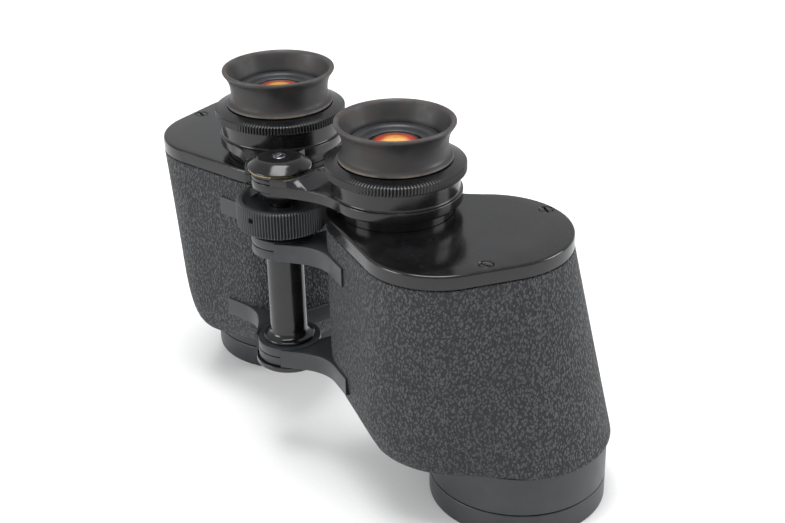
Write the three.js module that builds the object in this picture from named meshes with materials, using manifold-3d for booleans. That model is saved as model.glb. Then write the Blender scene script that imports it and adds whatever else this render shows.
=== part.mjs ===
// Centre-focus Porro-prism binoculars standing on their two objective barrels.
// Millimetres, +Z up along the hinge. The left barrel is at +X, the right barrel at -X.
import * as THREE from 'three';
import { mergeVertices } from 'three/addons/utils/BufferGeometryUtils.js';
import Module from 'manifold-3d';

const wasm = await Module();
wasm.setup();

// ---- driving sizes -------------------------------------------------------------------------
const clearance = 0.3; // between two pieces that touch or slide
const facets = 24; // sides of a round piece
const hiddenFacets = 16; // sides of a round piece inside the body

const eyeSpacing = 68.9; // between the two eyepiece axes, halves as unfolded here
const eyeSetback = 23.4; // eyepiece axes behind the hinge axis
const objectiveSpacing = 142.4; // between the two objective axes
const objectiveSetback = 46.8; // objective axes behind the hinge axis

const barrelRadius = 31;
const barrelTop = 24; // where the covering begins
const bezelHeight = 8.9;
const barrelWall = 2.2;
const objectiveRadius = barrelRadius - 5.4;
// The end of the barrel that screws into the body.
const neckOfBarrel = { radius: barrelRadius - 5.5, top: barrelTop + 9, wall: 2 };

const coverTop = 102.3;
const coverThickness = 5;
const coverEdge = 0.9; // rounding of the cover's top edge
const skinThickness = 1;
const bodyWall = 2.6;
const roundingStart = barrelTop + 28; // the body's lower corners curve in below this height

const guideRadius = 19.5; // fixed tube that each eyepiece slides on
const guideTop = coverTop + 9.7;
const armBottom = coverTop + 3.9;
const armThickness = 3.9;
const armRingRadius = guideRadius + 2.8;
const sleeveRadius = guideRadius + 1.9;
const sleeveTop = coverTop + 14.7;
const collarRadius = guideRadius + 4.1;
const collarBottom = sleeveTop - 0.6;
const collarTop = collarBottom + 4.2;
const tubeRadius = guideRadius - 2.3; // sliding lens tube
const neckRadius = tubeRadius - 2; // its upper end, inside the eyecup
const eyeLensRadius = 8.3;
const cupTop = collarTop + 13.3;
const cupRimRadius = neckRadius + 5.1;
const cupWaistRadius = neckRadius + 2.3;

const lugHeight = 6.8;
const lowerLug = { bottom: barrelTop + 16.2, top: barrelTop + 16.2 + lugHeight };
const upperLug = { bottom: coverTop - 13.3 - lugHeight, top: coverTop - 13.3 };
const lugRadius = 11.3;
const lugBossRadius = lugRadius + 1;
const bridgeBossRadius = 12;
const bridgeHubRadius = bridgeBossRadius - 2.1;
const bridgeBossHeight = 6.4;
const bridgeBossTop = armBottom + bridgeBossHeight;
const tubeOuter = 6.6; // hinge tube
const tubeInner = tubeOuter - 2.3;
const wheelRoom = 2.15; // between the focusing wheel's rim and the covers
const wheelBottom = upperLug.top + 2.8;
const wheelTop = wheelBottom + 9.6;
const spindleRadius = tubeInner - 0.4;

const prismAperture = Math.min(19, barrelRadius - 12); // width of a prism
const shelfThickness = 2.4;

// ---- places worked out from them -----------------------------------------------------------
const eye = new THREE.Vector2(eyeSpacing / 2, eyeSetback);
const objective = new THREE.Vector2(objectiveSpacing / 2, objectiveSetback);
const coverBottom = coverTop - coverThickness;
const bodyTop = coverBottom - clearance;
const bodyBottom = barrelTop + clearance;
const shelfTop = THREE.MathUtils.lerp(barrelTop, bodyTop, 0.555);
const lobeRadius = guideRadius + clearance + 4; // the cover's round end, about the eyepiece
const wheelRadius = eye.length() - lobeRadius - wheelRoom;

// Light goes up the objective's axis, across at a right angle twice, and up the eyepiece's axis.
const lightShift = objective.distanceTo(eye) / Math.SQRT2;
const towardsEye = Math.atan2(eye.y - objective.y, eye.x - objective.x);
const upperTurn = towardsEye + Math.PI / 4;
const lowerTurn = towardsEye - Math.PI / 4;
const turningPoint = objective.clone().add(polar(lightShift, upperTurn));
const prismLength = 2 * lightShift - 6;
const prismRoom = Math.min(bodyTop - shelfTop, shelfTop - shelfThickness - neckOfBarrel.top);
const prismDepth = Math.min(prismLength / 2 - 3, prismRoom - 2);

const group = new THREE.Group();

// ---- materials -----------------------------------------------------------------------------
const finishes = {
  black_satin: [0x1b1b1d, 0.35, 0.6],
  black_gloss: [0x121213, 0.15, 0.6],
  leatherette: [0x2e2f31, 0.75, 0],
  rubber: [0x2f2d2c, 0.85, 0],
  coated_glass: [0xb4593a, 0.05, 0],
  prism_glass: [0xdfe8ea, 0.05, 0],
  bright_steel: [0xb9bcc0, 0.3, 1],
  black_inside: [0x101010, 0.9, 0],
};

function material(finish) {
  const [color, roughness, metalness] = finishes[finish];
  return new THREE.MeshStandardMaterial({ color, roughness, metalness });
}

// ---- geometry helpers ----------------------------------------------------------------------
function polar(radius, angle) {
  return new THREE.Vector2(radius * Math.cos(angle), radius * Math.sin(angle));
}

function degrees(angle) {
  return THREE.MathUtils.degToRad(angle);
}

// One closed mesh: shared vertices, no collapsed triangles, faces outward.
function closed(geometry) {
  geometry.deleteAttribute('uv');
  geometry.deleteAttribute('normal');
  const merged = mergeVertices(geometry, 1e-3);
  const position = merged.attributes.position;
  const a = new THREE.Vector3();
  const b = new THREE.Vector3();
  const c = new THREE.Vector3();
  const kept = [];
  let volume = 0;
  for (let i = 0; i < merged.index.count; i += 3) {
    const [p, q, r] = [0, 1, 2].map((k) => merged.index.getX(i + k));
    if (p === q || q === r || r === p) continue;
    kept.push([p, q, r]);
    a.fromBufferAttribute(position, p);
    b.fromBufferAttribute(position, q);
    c.fromBufferAttribute(position, r);
    volume += a.dot(b.cross(c));
  }
  const faces = volume < 0 ? kept.map(([p, q, r]) => [p, r, q]) : kept;
  merged.setIndex(faces.flat());
  return merged;
}

function toSolid(geometry) {
  const whole = closed(geometry);
  return new wasm.Manifold(
    new wasm.Mesh({
      numProp: 3,
      vertProperties: whole.attributes.position.array,
      triVerts: new Uint32Array(whole.index.array),
    }),
  );
}

function toGeometry(solid) {
  const mesh = solid.getMesh();
  const geometry = new THREE.BufferGeometry();
  geometry.setAttribute('position', new THREE.BufferAttribute(mesh.vertProperties, 3));
  geometry.setIndex(new THREE.BufferAttribute(mesh.triVerts, 1));
  return closed(geometry);
}

// A solid of revolution about +Z at (x, y). The profile is [radius, height] pairs; where it does
// not start and end on the axis, it closes on itself.
function turned(profile, { x = 0, y = 0, sides = facets } = {}) {
  const points = profile.map(([radius, height]) => new THREE.Vector2(radius, height));
  const onAxis = profile[0][0] === 0 && profile.at(-1)[0] === 0;
  if (!onAxis) points.push(points[0].clone());
  const geometry = new THREE.LatheGeometry(points, sides);
  geometry.rotateX(Math.PI / 2);
  geometry.translate(x, y, 0);
  return closed(geometry);
}

function disc(radius, bottom, top, place) {
  return turned([[0, bottom], [radius, bottom], [radius, top], [0, top]], place);
}

// A prism of the outline from one height to another.
function slab(outline, bottom, top) {
  const shape = new THREE.Shape(outline);
  const geometry = new THREE.ExtrudeGeometry(shape, { depth: top - bottom, bevelEnabled: false });
  geometry.translate(0, 0, bottom);
  return closed(geometry);
}

function box(width, depth, height, x, y, z) {
  const geometry = new THREE.BoxGeometry(width, depth, height);
  geometry.translate(x, y, z);
  return closed(geometry);
}

// Rings of equal length joined into one skin, with a flat fan closing each end.
function loft(rings) {
  const count = rings[0].length;
  const positions = rings.flat().flatMap((p) => [p.x, p.y, p.z]);
  const index = [];
  for (let k = 0; k + 1 < rings.length; k++) {
    for (let i = 0; i < count; i++) {
      const a = k * count + i;
      const b = k * count + ((i + 1) % count);
      index.push(a, b, b + count, a, b + count, a + count);
    }
  }
  for (const k of [0, rings.length - 1]) {
    const middle = positions.length / 3;
    const centre = rings[k].reduce((sum, p) => sum.add(p), new THREE.Vector3());
    centre.divideScalar(count);
    positions.push(centre.x, centre.y, centre.z);
    for (let i = 0; i < count; i++) {
      const a = k * count + i;
      const b = k * count + ((i + 1) % count);
      index.push(...(k === 0 ? [middle, b, a] : [middle, a, b]));
    }
  }
  const geometry = new THREE.BufferGeometry();
  geometry.setAttribute('position', new THREE.Float32BufferAttribute(positions, 3));
  geometry.setIndex(index);
  return closed(geometry);
}

// Adds one named sub-part. A side of -1 mirrors a left piece into a right one.
function add(name, finish, geometry, side = 1) {
  const placed = side < 0 ? closed(geometry.clone().scale(-1, 1, 1)) : geometry;
  const mesh = new THREE.Mesh(placed, material(finish));
  mesh.name = name;
  group.add(mesh);
}

// ---- the body's outline --------------------------------------------------------------------
function arc(centre, radius, from, to, steps) {
  const points = [];
  for (let i = 0; i <= steps; i++) {
    const angle = degrees(from + ((to - from) * i) / steps);
    points.push(centre.clone().add(polar(radius, angle)));
  }
  return points;
}

// Seen from above, the top is three round lobes: about the eyepiece, in front of the prisms,
// and behind them. The bottom wraps the objective, with a lobe in front that holds the prism.
// Each lobe is placed from the objective's axis, and is as wide as the prisms under it need.
const frontLobe = {
  centre: new THREE.Vector2(-8.2, -28.8).add(objective),
  radius: lightShift - 5.8,
};
const backLobe = {
  centre: new THREE.Vector2(-5, -10.5).add(objective),
  radius: lightShift - 2.8,
};
const lowLobe = {
  centre: new THREE.Vector2(-8.6, -18.8).add(objective),
  radius: lightShift - 6.3,
};
const skirtRadius = barrelRadius + 1.4; // the covering's foot, about the barrel
const topOutline = [
  ...arc(eye, lobeRadius, 82, 257, 12),
  ...arc(frontLobe.centre, frontLobe.radius, -103, -18, 8),
  ...arc(backLobe.centre, backLobe.radius, -18, 143, 12),
];
const bottomOutline = [
  ...arc(objective, skirtRadius, -34, 176, 14),
  ...arc(lowLobe.centre, lowLobe.radius, 176, 326, 10),
];
const middle = eye.clone().add(objective).multiplyScalar(0.5).add(new THREE.Vector2(3, -5));

// How far a ray from the body's middle goes before it leaves an outline.
function reach(outline, angle) {
  const ray = polar(1, angle);
  let far = 0;
  outline.forEach((a, i) => {
    const b = outline[(i + 1) % outline.length];
    const edge = b.clone().sub(a);
    const cross = ray.cross(edge);
    if (Math.abs(cross) < 1e-9) return;
    const toA = a.clone().sub(middle);
    const along = toA.cross(edge) / cross;
    const share = toA.cross(ray) / cross;
    if (share >= 0 && share <= 1 && along > far) far = along;
  });
  return far;
}

// The wall leans outward in a straight line on the outer and back sides. On the hinge and front
// sides it stays upright and then curves in below roundingStart, as a quarter of a superellipse.
const cornerPower = 2.4;

function bodyRing(height, inset, sides) {
  const points = [];
  const drop = (coverBottom - height) / (coverBottom - barrelTop);
  const curl = Math.min(Math.max((roundingStart - height) / (roundingStart - barrelTop), 0), 1);
  const tuck = 1 - (1 - curl ** cornerPower) ** (1 / cornerPower);
  for (let i = 0; i < sides; i++) {
    const angle = (2 * Math.PI * i) / sides;
    const upright = Math.min(Math.max(0.5 + 1.2 * Math.cos(angle - degrees(205)), 0), 1);
    const share = THREE.MathUtils.lerp(drop, tuck, upright);
    const top = reach(topOutline, angle);
    const low = reach(bottomOutline, angle);
    const radius = THREE.MathUtils.lerp(top, low, share);
    points.push(middle.clone().add(polar(radius, angle)));
  }
  return offset(points, inset).map((p) => new THREE.Vector3(p.x, p.y, height));
}

// Moves a closed counter-clockwise outline inward along its normals.
function offset(points, inset) {
  return points.map((p, i) => {
    const before = points.at(i - 1);
    const after = points[(i + 1) % points.length];
    const along = after.clone().sub(before).normalize();
    return new THREE.Vector2(p.x - along.y * inset, p.y + along.x * inset);
  });
}

const bodySides = 36;
const lowHeights = [barrelTop + 2, barrelTop + 7, barrelTop + 14, roundingStart];

const endInset = 0.6; // the covering's lower edge is softened by this

function bodyLoft(inset, bottom, top) {
  const halfway = (roundingStart + bodyTop) / 2;
  const heights = [...lowHeights.filter((h) => h > bottom + 1), halfway, top];
  const rings = heights.map((h) => bodyRing(h, inset, bodySides));
  return loft([bodyRing(bottom, inset + endInset, bodySides), ...rings]);
}

// ---- arms that join the halves at the hinge --------------------------------------------------
// An arm seen from above: a sector of the round boss, from the hinge axis out, a concave front edge
// that runs out along the body, and its back edge. What lies inside the body is cut away.
const bossFront = degrees(-50);
const bossBack = degrees(38);
const sweep = 9; // how far the concave edge holds its direction at each end

function armOutline(bossRadius, anchor, anchorSlope, insidePoints, grow = 0) {
  const start = polar(bossRadius, bossFront);
  const leaving = polar(sweep, degrees(40));
  const arriving = new THREE.Vector2(1, anchorSlope).normalize().multiplyScalar(sweep);
  const front = new THREE.CubicBezierCurve(
    start,
    start.clone().add(leaving),
    anchor.clone().sub(arriving),
    anchor,
  ).getPoints(8);
  const back = polar(bossRadius, bossBack);
  const outline = [new THREE.Vector2(), ...front, ...insidePoints, back];
  return offset(outline, -grow);
}

const skinProud = 0.8; // how far an arm's end stands out of the covering
const armReach = eye.x - 5.45; // where the arm's front meets the body
const armEnd = eye.x + 3.55; // where its flange along the body stops
const backSweep = 5; // how far the concave back edge holds its direction at each end
const backLeaving = degrees(75); // the direction in which it leaves the boss

// The y where the line at x meets the front of the body's top outline.
function bodyFront(x) {
  const crossings = topOutline.flatMap((a, i) => {
    const b = topOutline[(i + 1) % topOutline.length];
    if (a.x === b.x || (a.x - x) * (b.x - x) > 0) return [];
    return [THREE.MathUtils.lerp(a.y, b.y, (x - a.x) / (b.x - a.x))];
  });
  return Math.min(...crossings);
}

function bodyArm(bottom, top, grow = 0) {
  const anchor = new THREE.Vector2(armReach, bodyFront(armReach) - skinProud);
  const end = new THREE.Vector2(armEnd, bodyFront(armEnd) - skinProud);
  const behindEnd = new THREE.Vector2(end.x, end.y + 6);
  const deepInside = eye.clone().add(new THREE.Vector2(-8, -8));
  const back = eye.clone().add(polar(lobeRadius + skinProud, degrees(176)));
  const behindBack = new THREE.Vector2(eye.x - 10, back.y);
  const bossCorner = polar(lugBossRadius, bossBack);
  const backEdge = new THREE.CubicBezierCurve(
    back,
    new THREE.Vector2(back.x, back.y - backSweep),
    bossCorner.clone().add(polar(backSweep, backLeaving)),
    bossCorner,
  ).getPoints(4);
  const inside = [end, behindEnd, deepInside, behindBack, ...backEdge.slice(0, -1)];
  const plan = armOutline(lugBossRadius, anchor, -0.23, inside, grow);
  return slab(plan, bottom - grow, top + grow);
}

// Two layers share each lug: the left half turns on the lower one, the right half on the upper.
function layers(lug) {
  const split = (lug.bottom + lug.top) / 2;
  return {
    left: [lug.bottom, split - clearance / 2],
    right: [split + clearance / 2, lug.top],
  };
}

function joinArm(solid, lug, side) {
  const own = layers(lug)[side > 0 ? 'left' : 'right'];
  const other = layers(lug)[side > 0 ? 'right' : 'left'];
  const room = disc(lugRadius + clearance, other[0] - clearance, other[1] + clearance);
  const arm = toSolid(bodyArm(lug.bottom, lug.top)).subtract(toSolid(room));
  return solid.add(arm).add(toSolid(disc(lugRadius, own[0], own[1])));
}

// ---- one half of the body --------------------------------------------------------------------
const screwPlaces = [
  backLobe.centre.clone().add(polar(backLobe.radius - 3.6, degrees(87.4))),
  frontLobe.centre.clone().add(polar(frontLobe.radius - 2.8, degrees(2.3))),
];

function housing(side) {
  const inset = skinThickness + clearance;
  let solid = toSolid(bodyLoft(inset, bodyBottom, bodyTop));
  for (const lug of [lowerLug, upperLug]) solid = joinArm(solid, lug, side);
  const cavityFloor = barrelTop + 6;
  const cavity = toSolid(bodyLoft(inset + bodyWall, cavityFloor, bodyTop + 1));
  const withinWall = toSolid(bodyLoft(inset + 0.5, bodyBottom, bodyTop + 1));
  solid = solid.subtract(cavity);
  for (const place of screwPlaces) {
    const boss = disc(3.4, bodyTop - 9, bodyTop, { x: place.x, y: place.y, sides: hiddenFacets });
    solid = solid.add(toSolid(boss).intersect(withinWall));
  }
  for (const place of screwPlaces) {
    const bore = disc(1.5, bodyTop - 6, bodyTop + 1, { x: place.x, y: place.y, sides: 10 });
    solid = solid.subtract(toSolid(bore));
  }
  const neckRoom = neckOfBarrel.top + 13;
  const barrelBore = disc(neckOfBarrel.radius + clearance, bodyBottom - 1, neckRoom, objective);
  const hingeBore = disc(tubeOuter + clearance, lowerLug.bottom - 1, upperLug.top + 1);
  return toGeometry(solid.subtract(toSolid(barrelBore)).subtract(toSolid(hingeBore)));
}

function covering() {
  const outer = bodyLoft(0, barrelTop, bodyTop);
  const inner = bodyLoft(skinThickness, barrelTop - 1, bodyTop + 1);
  let skin = toSolid(outer).subtract(toSolid(inner));
  for (const lug of [lowerLug, upperLug]) {
    skin = skin.subtract(toSolid(bodyArm(lug.bottom, lug.top, clearance)));
  }
  return toGeometry(skin);
}

function cover() {
  const plate = loft([
    bodyRing(coverBottom, 0, bodySides),
    bodyRing(coverBottom, 0, bodySides).map((p) => p.setZ(coverTop - coverEdge)),
    bodyRing(coverBottom, coverEdge * 0.3, bodySides).map((p) => p.setZ(coverTop - coverEdge * 0.3)),
    bodyRing(coverBottom, coverEdge, bodySides).map((p) => p.setZ(coverTop)),
  ]);
  const bore = disc(guideRadius + clearance, coverBottom - 1, coverTop + 1, eye);
  let solid = toSolid(plate).subtract(toSolid(bore));
  for (const place of screwPlaces) {
    const at = { x: place.x, y: place.y, sides: 12 };
    const head = disc(2.5, coverTop - 1.6, coverTop + 1, at);
    const shank = disc(1.5, coverBottom - 1, coverTop, at);
    solid = solid.subtract(toSolid(head)).subtract(toSolid(shank));
  }
  return toGeometry(solid);
}

// A slotted flat-head screw, its head just below a surface.
function screw(headRadius, shankRadius, surface, length, place) {
  const headTop = surface - 0.2;
  const profile = [
    [0, headTop - length],
    [shankRadius, headTop - length],
    [shankRadius, headTop - 1.1],
    [headRadius, headTop - 1.1],
    [headRadius, headTop],
    [0, headTop],
  ];
  const body = toSolid(turned(profile, { ...place, sides: 12 }));
  const slot = box(2 * headRadius + 1, 0.6, 1, place.x, place.y, headTop);
  return toGeometry(body.subtract(toSolid(slot)));
}

// ---- objective -------------------------------------------------------------------------------
const barrelInner = barrelRadius - barrelWall;
const bezelProfile = [
  [barrelInner, 0],
  [barrelRadius - 0.5, 0],
  [barrelRadius, 0.5],
  [barrelRadius, bezelHeight - 0.5],
  [barrelRadius - 0.4, bezelHeight - clearance / 2],
  [barrelInner, bezelHeight - clearance / 2],
  [barrelInner, bezelHeight - 2.5],
  [barrelInner - 1.2, bezelHeight - 3.9],
  [barrelInner - 1.2, 1.5],
];
const barrelShoulder = barrelTop - 1.5; // where the wide bore ends
const barrelProfile = [
  [barrelInner, bezelHeight + clearance / 2],
  [barrelRadius - 0.4, bezelHeight + clearance / 2],
  [barrelRadius, bezelHeight + 0.5],
  [barrelRadius, barrelTop - clearance],
  [neckOfBarrel.radius, barrelTop - clearance],
  [neckOfBarrel.radius, neckOfBarrel.top],
  [neckOfBarrel.radius - neckOfBarrel.wall, neckOfBarrel.top],
  [neckOfBarrel.radius - neckOfBarrel.wall, barrelShoulder],
  [barrelInner, barrelShoulder],
];
const cellOuter = barrelInner - clearance;
const cellTop = barrelShoulder - 0.5;
const cellLip = cellTop - 1.8; // the lip that the rear lens rests on
const lensFoot = bezelHeight + 1.1; // the front lens's edge
const lensSpace = cellLip - lensFoot;
const cellProfile = [
  [objectiveRadius + clearance, lensFoot - clearance],
  [cellOuter, lensFoot - clearance],
  [cellOuter, cellTop],
  [objectiveRadius - 1, cellTop],
  [objectiveRadius - 1, cellLip],
  [objectiveRadius + clearance, cellLip],
];
const lockRingProfile = [
  [objectiveRadius - 0.3, lensFoot - 2.7],
  [cellOuter, lensFoot - 2.7],
  [cellOuter, lensFoot - 2 * clearance],
  [objectiveRadius - 0.7, lensFoot - 2 * clearance],
];
// Heights of the two lenses' faces, each on the axis and at the edge.
const frontFace = [lensFoot - 3, lensFoot];
const innerFace = [lensFoot + lensSpace * 0.53, lensFoot + lensSpace * 0.39];
const gapFace = innerFace.map((height) => height + clearance);
const rearFace = [cellLip - 1.2, cellLip - clearance];

// A glass of two domed faces. Each face is [height on the axis, height at the edge].
function glass(radius, below, above, place) {
  const steps = 2;
  const face = ([centre, edge]) => {
    const points = [];
    for (let i = 0; i <= steps; i++) {
      const share = i / steps;
      points.push([radius * share, THREE.MathUtils.lerp(centre, edge, share * share)]);
    }
    return points;
  };
  return turned([...face(below), ...face(above).reverse()], place);
}

// ---- prisms ----------------------------------------------------------------------------------
// A right-angle prism with its long face on the shelf and its ridge cut flat. Direction is +1 for
// a ridge that points up.
const prismEdge = 1.5; // height of the square edge beside the long face
const prismHalf = prismLength / 2;
const prismFlat = prismHalf - prismDepth; // half the flat on the ridge

function alongPrism(outline, width, centre, angle, face, direction) {
  const shape = new THREE.Shape(outline);
  const geometry = new THREE.ExtrudeGeometry(shape, { depth: width, bevelEnabled: false });
  geometry.translate(0, 0, -width / 2);
  geometry.rotateX(Math.PI / 2);
  if (direction < 0) geometry.scale(1, 1, -1);
  geometry.rotateZ(angle);
  geometry.translate(centre.x, centre.y, face);
  return closed(geometry);
}

function prismBlock(centre, angle, face, direction) {
  const outline = [
    new THREE.Vector2(-prismHalf, 0),
    new THREE.Vector2(prismHalf, 0),
    new THREE.Vector2(prismHalf, prismEdge),
    new THREE.Vector2(prismFlat, prismDepth),
    new THREE.Vector2(-prismFlat, prismDepth),
    new THREE.Vector2(-prismHalf, prismEdge),
  ];
  return alongPrism(outline, prismAperture, centre, angle, face, direction);
}

// A spring strip over the prism's ridge and down both slopes.
const strapGap = clearance + 0.2;
const strapThickness = 0.7;
const strapWidth = 8;

function prismStrap(centre, angle, face, direction) {
  const foot = prismDepth * 0.45;
  const slope = (prismHalf - prismFlat) / (prismDepth - prismEdge);
  const line = (lift) => {
    const out = prismFlat + slope * (prismDepth - foot) + lift * Math.SQRT2;
    const ridge = prismFlat + lift * 0.45;
    return [
      new THREE.Vector2(out, foot),
      new THREE.Vector2(ridge, prismDepth + lift),
      new THREE.Vector2(-ridge, prismDepth + lift),
      new THREE.Vector2(-out, foot),
    ];
  };
  const outline = [...line(strapGap + strapThickness), ...line(strapGap).reverse()];
  return alongPrism(outline, strapWidth, centre, angle, face, direction);
}

const upperPrism = objective.clone().add(turningPoint).multiplyScalar(0.5);
const lowerPrism = eye.clone().add(turningPoint).multiplyScalar(0.5);

function shelf() {
  const inset = skinThickness + clearance + bodyWall + 2 * clearance;
  const middleHeight = shelfTop - shelfThickness / 2;
  const outline = bodyRing(middleHeight, inset, bodySides);
  const plate = loft([
    outline.map((p) => p.clone().setZ(shelfTop - shelfThickness)),
    outline.map((p) => p.clone().setZ(shelfTop)),
  ]);
  let solid = toSolid(plate);
  for (const place of [objective, turningPoint, eye]) {
    const window = disc(prismAperture / 2 - 1, shelfTop - shelfThickness - 1, shelfTop + 1, {
      x: place.x,
      y: place.y,
      sides: hiddenFacets,
    });
    solid = solid.subtract(toSolid(window));
  }
  return toGeometry(solid);
}

// ---- eyepiece --------------------------------------------------------------------------------
const sleeveInner = guideRadius + clearance;
const guideProfile = [
  [tubeRadius + clearance, coverBottom],
  [guideRadius, coverBottom],
  [guideRadius, guideTop],
  [tubeRadius + clearance, guideTop],
];
const sleeveProfile = [
  [sleeveInner, armBottom],
  [armRingRadius - 0.6, armBottom],
  [armRingRadius, armBottom + 0.6],
  [armRingRadius, armBottom + armThickness - 0.7],
  [sleeveRadius, armBottom + armThickness],
  [sleeveRadius, sleeveTop],
  [tubeRadius + clearance, sleeveTop],
  [tubeRadius + clearance, sleeveTop - 1.8],
  [sleeveInner, sleeveTop - 1.8],
];
const collarRoof = collarTop - 2.1;
const tubeBottom = coverBottom - 3;
const neckRim = collarTop + 4.7;
const lensTubeProfile = [
  [neckRadius - 0.3, tubeBottom],
  [tubeRadius, tubeBottom],
  [tubeRadius, collarRoof - clearance],
  [neckRadius, collarRoof - clearance],
  [neckRadius, neckRim],
  [eyeLensRadius + clearance, neckRim],
  [eyeLensRadius + clearance, neckRim - 1.9],
  [neckRadius - 1.5, neckRim - 4.3],
  [neckRadius - 1.5, tubeBottom + 8.7],
  [neckRadius - 0.3, tubeBottom + 7.7],
];
const collarProfile = [
  [sleeveRadius + clearance, collarBottom],
  [collarRadius - 0.4, collarBottom],
  [collarRadius, collarBottom + 0.4],
  [collarRadius, collarTop - 1.4],
  [collarRadius - 1.1, collarTop - 0.7],
  [collarRadius - 4, collarTop],
  [neckRadius + clearance, collarTop],
  [neckRadius + clearance, collarRoof],
  [sleeveRadius + clearance, collarRoof],
];
const cupBase = collarTop + clearance;
const cupProfile = [
  [neckRadius + clearance, cupBase],
  [cupWaistRadius + 1.9, cupBase],
  [cupWaistRadius + 1.3, cupBase + 1],
  [cupWaistRadius + 0.2, cupBase + 2.2],
  [cupWaistRadius, cupBase + 4.6],
  [cupWaistRadius + 0.4, cupBase + 8],
  [cupRimRadius - 1, cupTop - 1.8],
  [cupRimRadius, cupTop - 0.7],
  [cupRimRadius - 0.3, cupTop],
  [cupRimRadius - 1.5, cupTop],
  [cupRimRadius - 2.2, cupTop - 1.2],
  [cupWaistRadius - 1, cupTop - 4.6],
  [neckRadius + clearance, neckRim + 1.9],
];
const eyeBezelBottom = neckRim + clearance;
const eyeBezelTop = neckRim + 1.7;
const eyeBezelProfile = [
  [eyeLensRadius + 0.7, eyeBezelBottom],
  [neckRadius - 0.1, eyeBezelBottom],
  [neckRadius - 0.1, eyeBezelTop],
  [neckRadius - 2.2, eyeBezelTop],
  [neckRadius - 2.9, eyeBezelTop - 0.5],
  [eyeLensRadius + 0.9, eyeBezelTop - 0.8],
];
// Heights of the eye lens's and the field lens's faces, each on the axis and at the edge.
const eyeLensFaces = [[neckRim - 1.3, neckRim - 1.3], [neckRim + 1.7, neckRim + 0.7]];
const fieldLensFaces = [
  [tubeBottom + 1.7, tubeBottom + 3.2],
  [tubeBottom + 7.2, tubeBottom + 5.2],
];

// The arm that lifts an eyepiece. Its end round the spindle is thin layers, so that the two arms
// turn past each other: the left arm has the middle layer, the right arm the two outer ones.
function eyepieceArm(side) {
  const back = eye.clone().add(polar(armRingRadius, degrees(192)));
  const anchor = eye.clone().add(polar(armRingRadius, degrees(-96)));
  const inside = [eye.clone().add(new THREE.Vector2(0, -4)), back];
  const plan = armOutline(bridgeBossRadius, anchor, -0.1, inside);
  const plate = toSolid(slab(plan, armBottom, armBottom + armThickness));
  const boss = toSolid(slab(plan, armBottom, bridgeBossTop));
  const nearHinge = toSolid(turned([
    [0, armBottom - 1],
    [bridgeBossRadius + 7, armBottom - 1],
    [bridgeBossRadius + 7, armBottom + armThickness],
    [bridgeBossRadius + 1, bridgeBossTop + 0.4],
    [0, bridgeBossTop + 0.4],
  ]));
  let solid = plate.add(boss.intersect(nearHinge));
  const low = armBottom + bridgeBossHeight * 0.52;
  const high = armBottom + bridgeBossHeight * 0.77;
  const outer = [[armBottom, low - clearance / 2], [high + clearance / 2, bridgeBossTop]];
  const inner = [[low + clearance / 2, high - clearance / 2]];
  const own = side > 0 ? inner : outer;
  const other = side > 0 ? outer : inner;
  for (const [bottom, top] of other) {
    const room = disc(bridgeHubRadius + clearance, bottom - clearance, top + clearance);
    solid = solid.subtract(toSolid(room));
  }
  for (const [bottom, top] of own) solid = solid.add(toSolid(disc(bridgeHubRadius, bottom, top)));
  const clearSleeve = disc(sleeveRadius - 0.2, armBottom - 1, armBottom + armThickness + 1, eye);
  solid = solid.subtract(toSolid(clearSleeve)).add(toSolid(turned(sleeveProfile, eye)));
  const spindleBore = disc(spindleRadius + clearance, armBottom - 1, bridgeBossTop + 1);
  return toGeometry(solid.subtract(toSolid(spindleBore)));
}

// ---- centre: hinge tube, focusing wheel and spindle ---------------------------------------------
const flangeRadius = tubeOuter + 2.5; // the tube's foot, on the lower lug
const washerRadius = lugRadius - 0.9;
const hingeTubeProfile = [
  [tubeInner, lowerLug.bottom - 1.4],
  [tubeOuter, lowerLug.bottom - 1.4],
  [tubeOuter, lowerLug.top + clearance],
  [flangeRadius, lowerLug.top + clearance],
  [flangeRadius, lowerLug.top + 1.2],
  [tubeOuter + 0.8, lowerLug.top + 2.1],
  [tubeOuter, lowerLug.top + 2.8],
  [tubeOuter, upperLug.top + 2.2],
  [tubeInner, upperLug.top + 2.2],
];
const washerProfile = [
  [tubeOuter + clearance, upperLug.top + clearance],
  [washerRadius, upperLug.top + clearance],
  [washerRadius, wheelBottom - clearance],
  [tubeOuter + clearance, wheelBottom - clearance],
];
const bottomCapRadius = lugBossRadius - 0.1;
const bottomCapProfile = [
  [0, lowerLug.bottom - 2.8],
  [bottomCapRadius - 0.9, lowerLug.bottom - 2.8],
  [bottomCapRadius, lowerLug.bottom - 2],
  [bottomCapRadius, lowerLug.bottom - clearance],
  [tubeOuter + clearance, lowerLug.bottom - clearance],
  [tubeOuter + clearance, lowerLug.bottom - 1.7],
  [0, lowerLug.bottom - 1.7],
];
const wheelDish = wheelTop - 2.6;
const wheelProfile = [
  [spindleRadius + clearance, wheelBottom],
  [wheelRadius - 0.8, wheelBottom],
  [wheelRadius, wheelBottom + 0.7],
  [wheelRadius, wheelTop - 0.8],
  [wheelRadius - 0.8, wheelTop],
  [wheelRadius - 2.4, wheelTop],
  [wheelRadius - 3, wheelDish],
  [spindleRadius + clearance, wheelDish],
];
const spindleBottom = wheelBottom - 33.8;
const spindleCollar = bridgeHubRadius - 1.9;
const spindleProfile = [
  [0, spindleBottom],
  [spindleRadius, spindleBottom],
  [spindleRadius, wheelTop + 0.5],
  [spindleCollar, wheelTop + 0.5],
  [spindleCollar, armBottom - clearance],
  [spindleRadius, armBottom - clearance],
  [spindleRadius, bridgeBossTop],
  [0, bridgeBossTop],
];
const capRadius = bridgeBossRadius - 1.1;
const capTop = bridgeBossTop + 3.8;
const capScrewRoom = 2.4;
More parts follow.
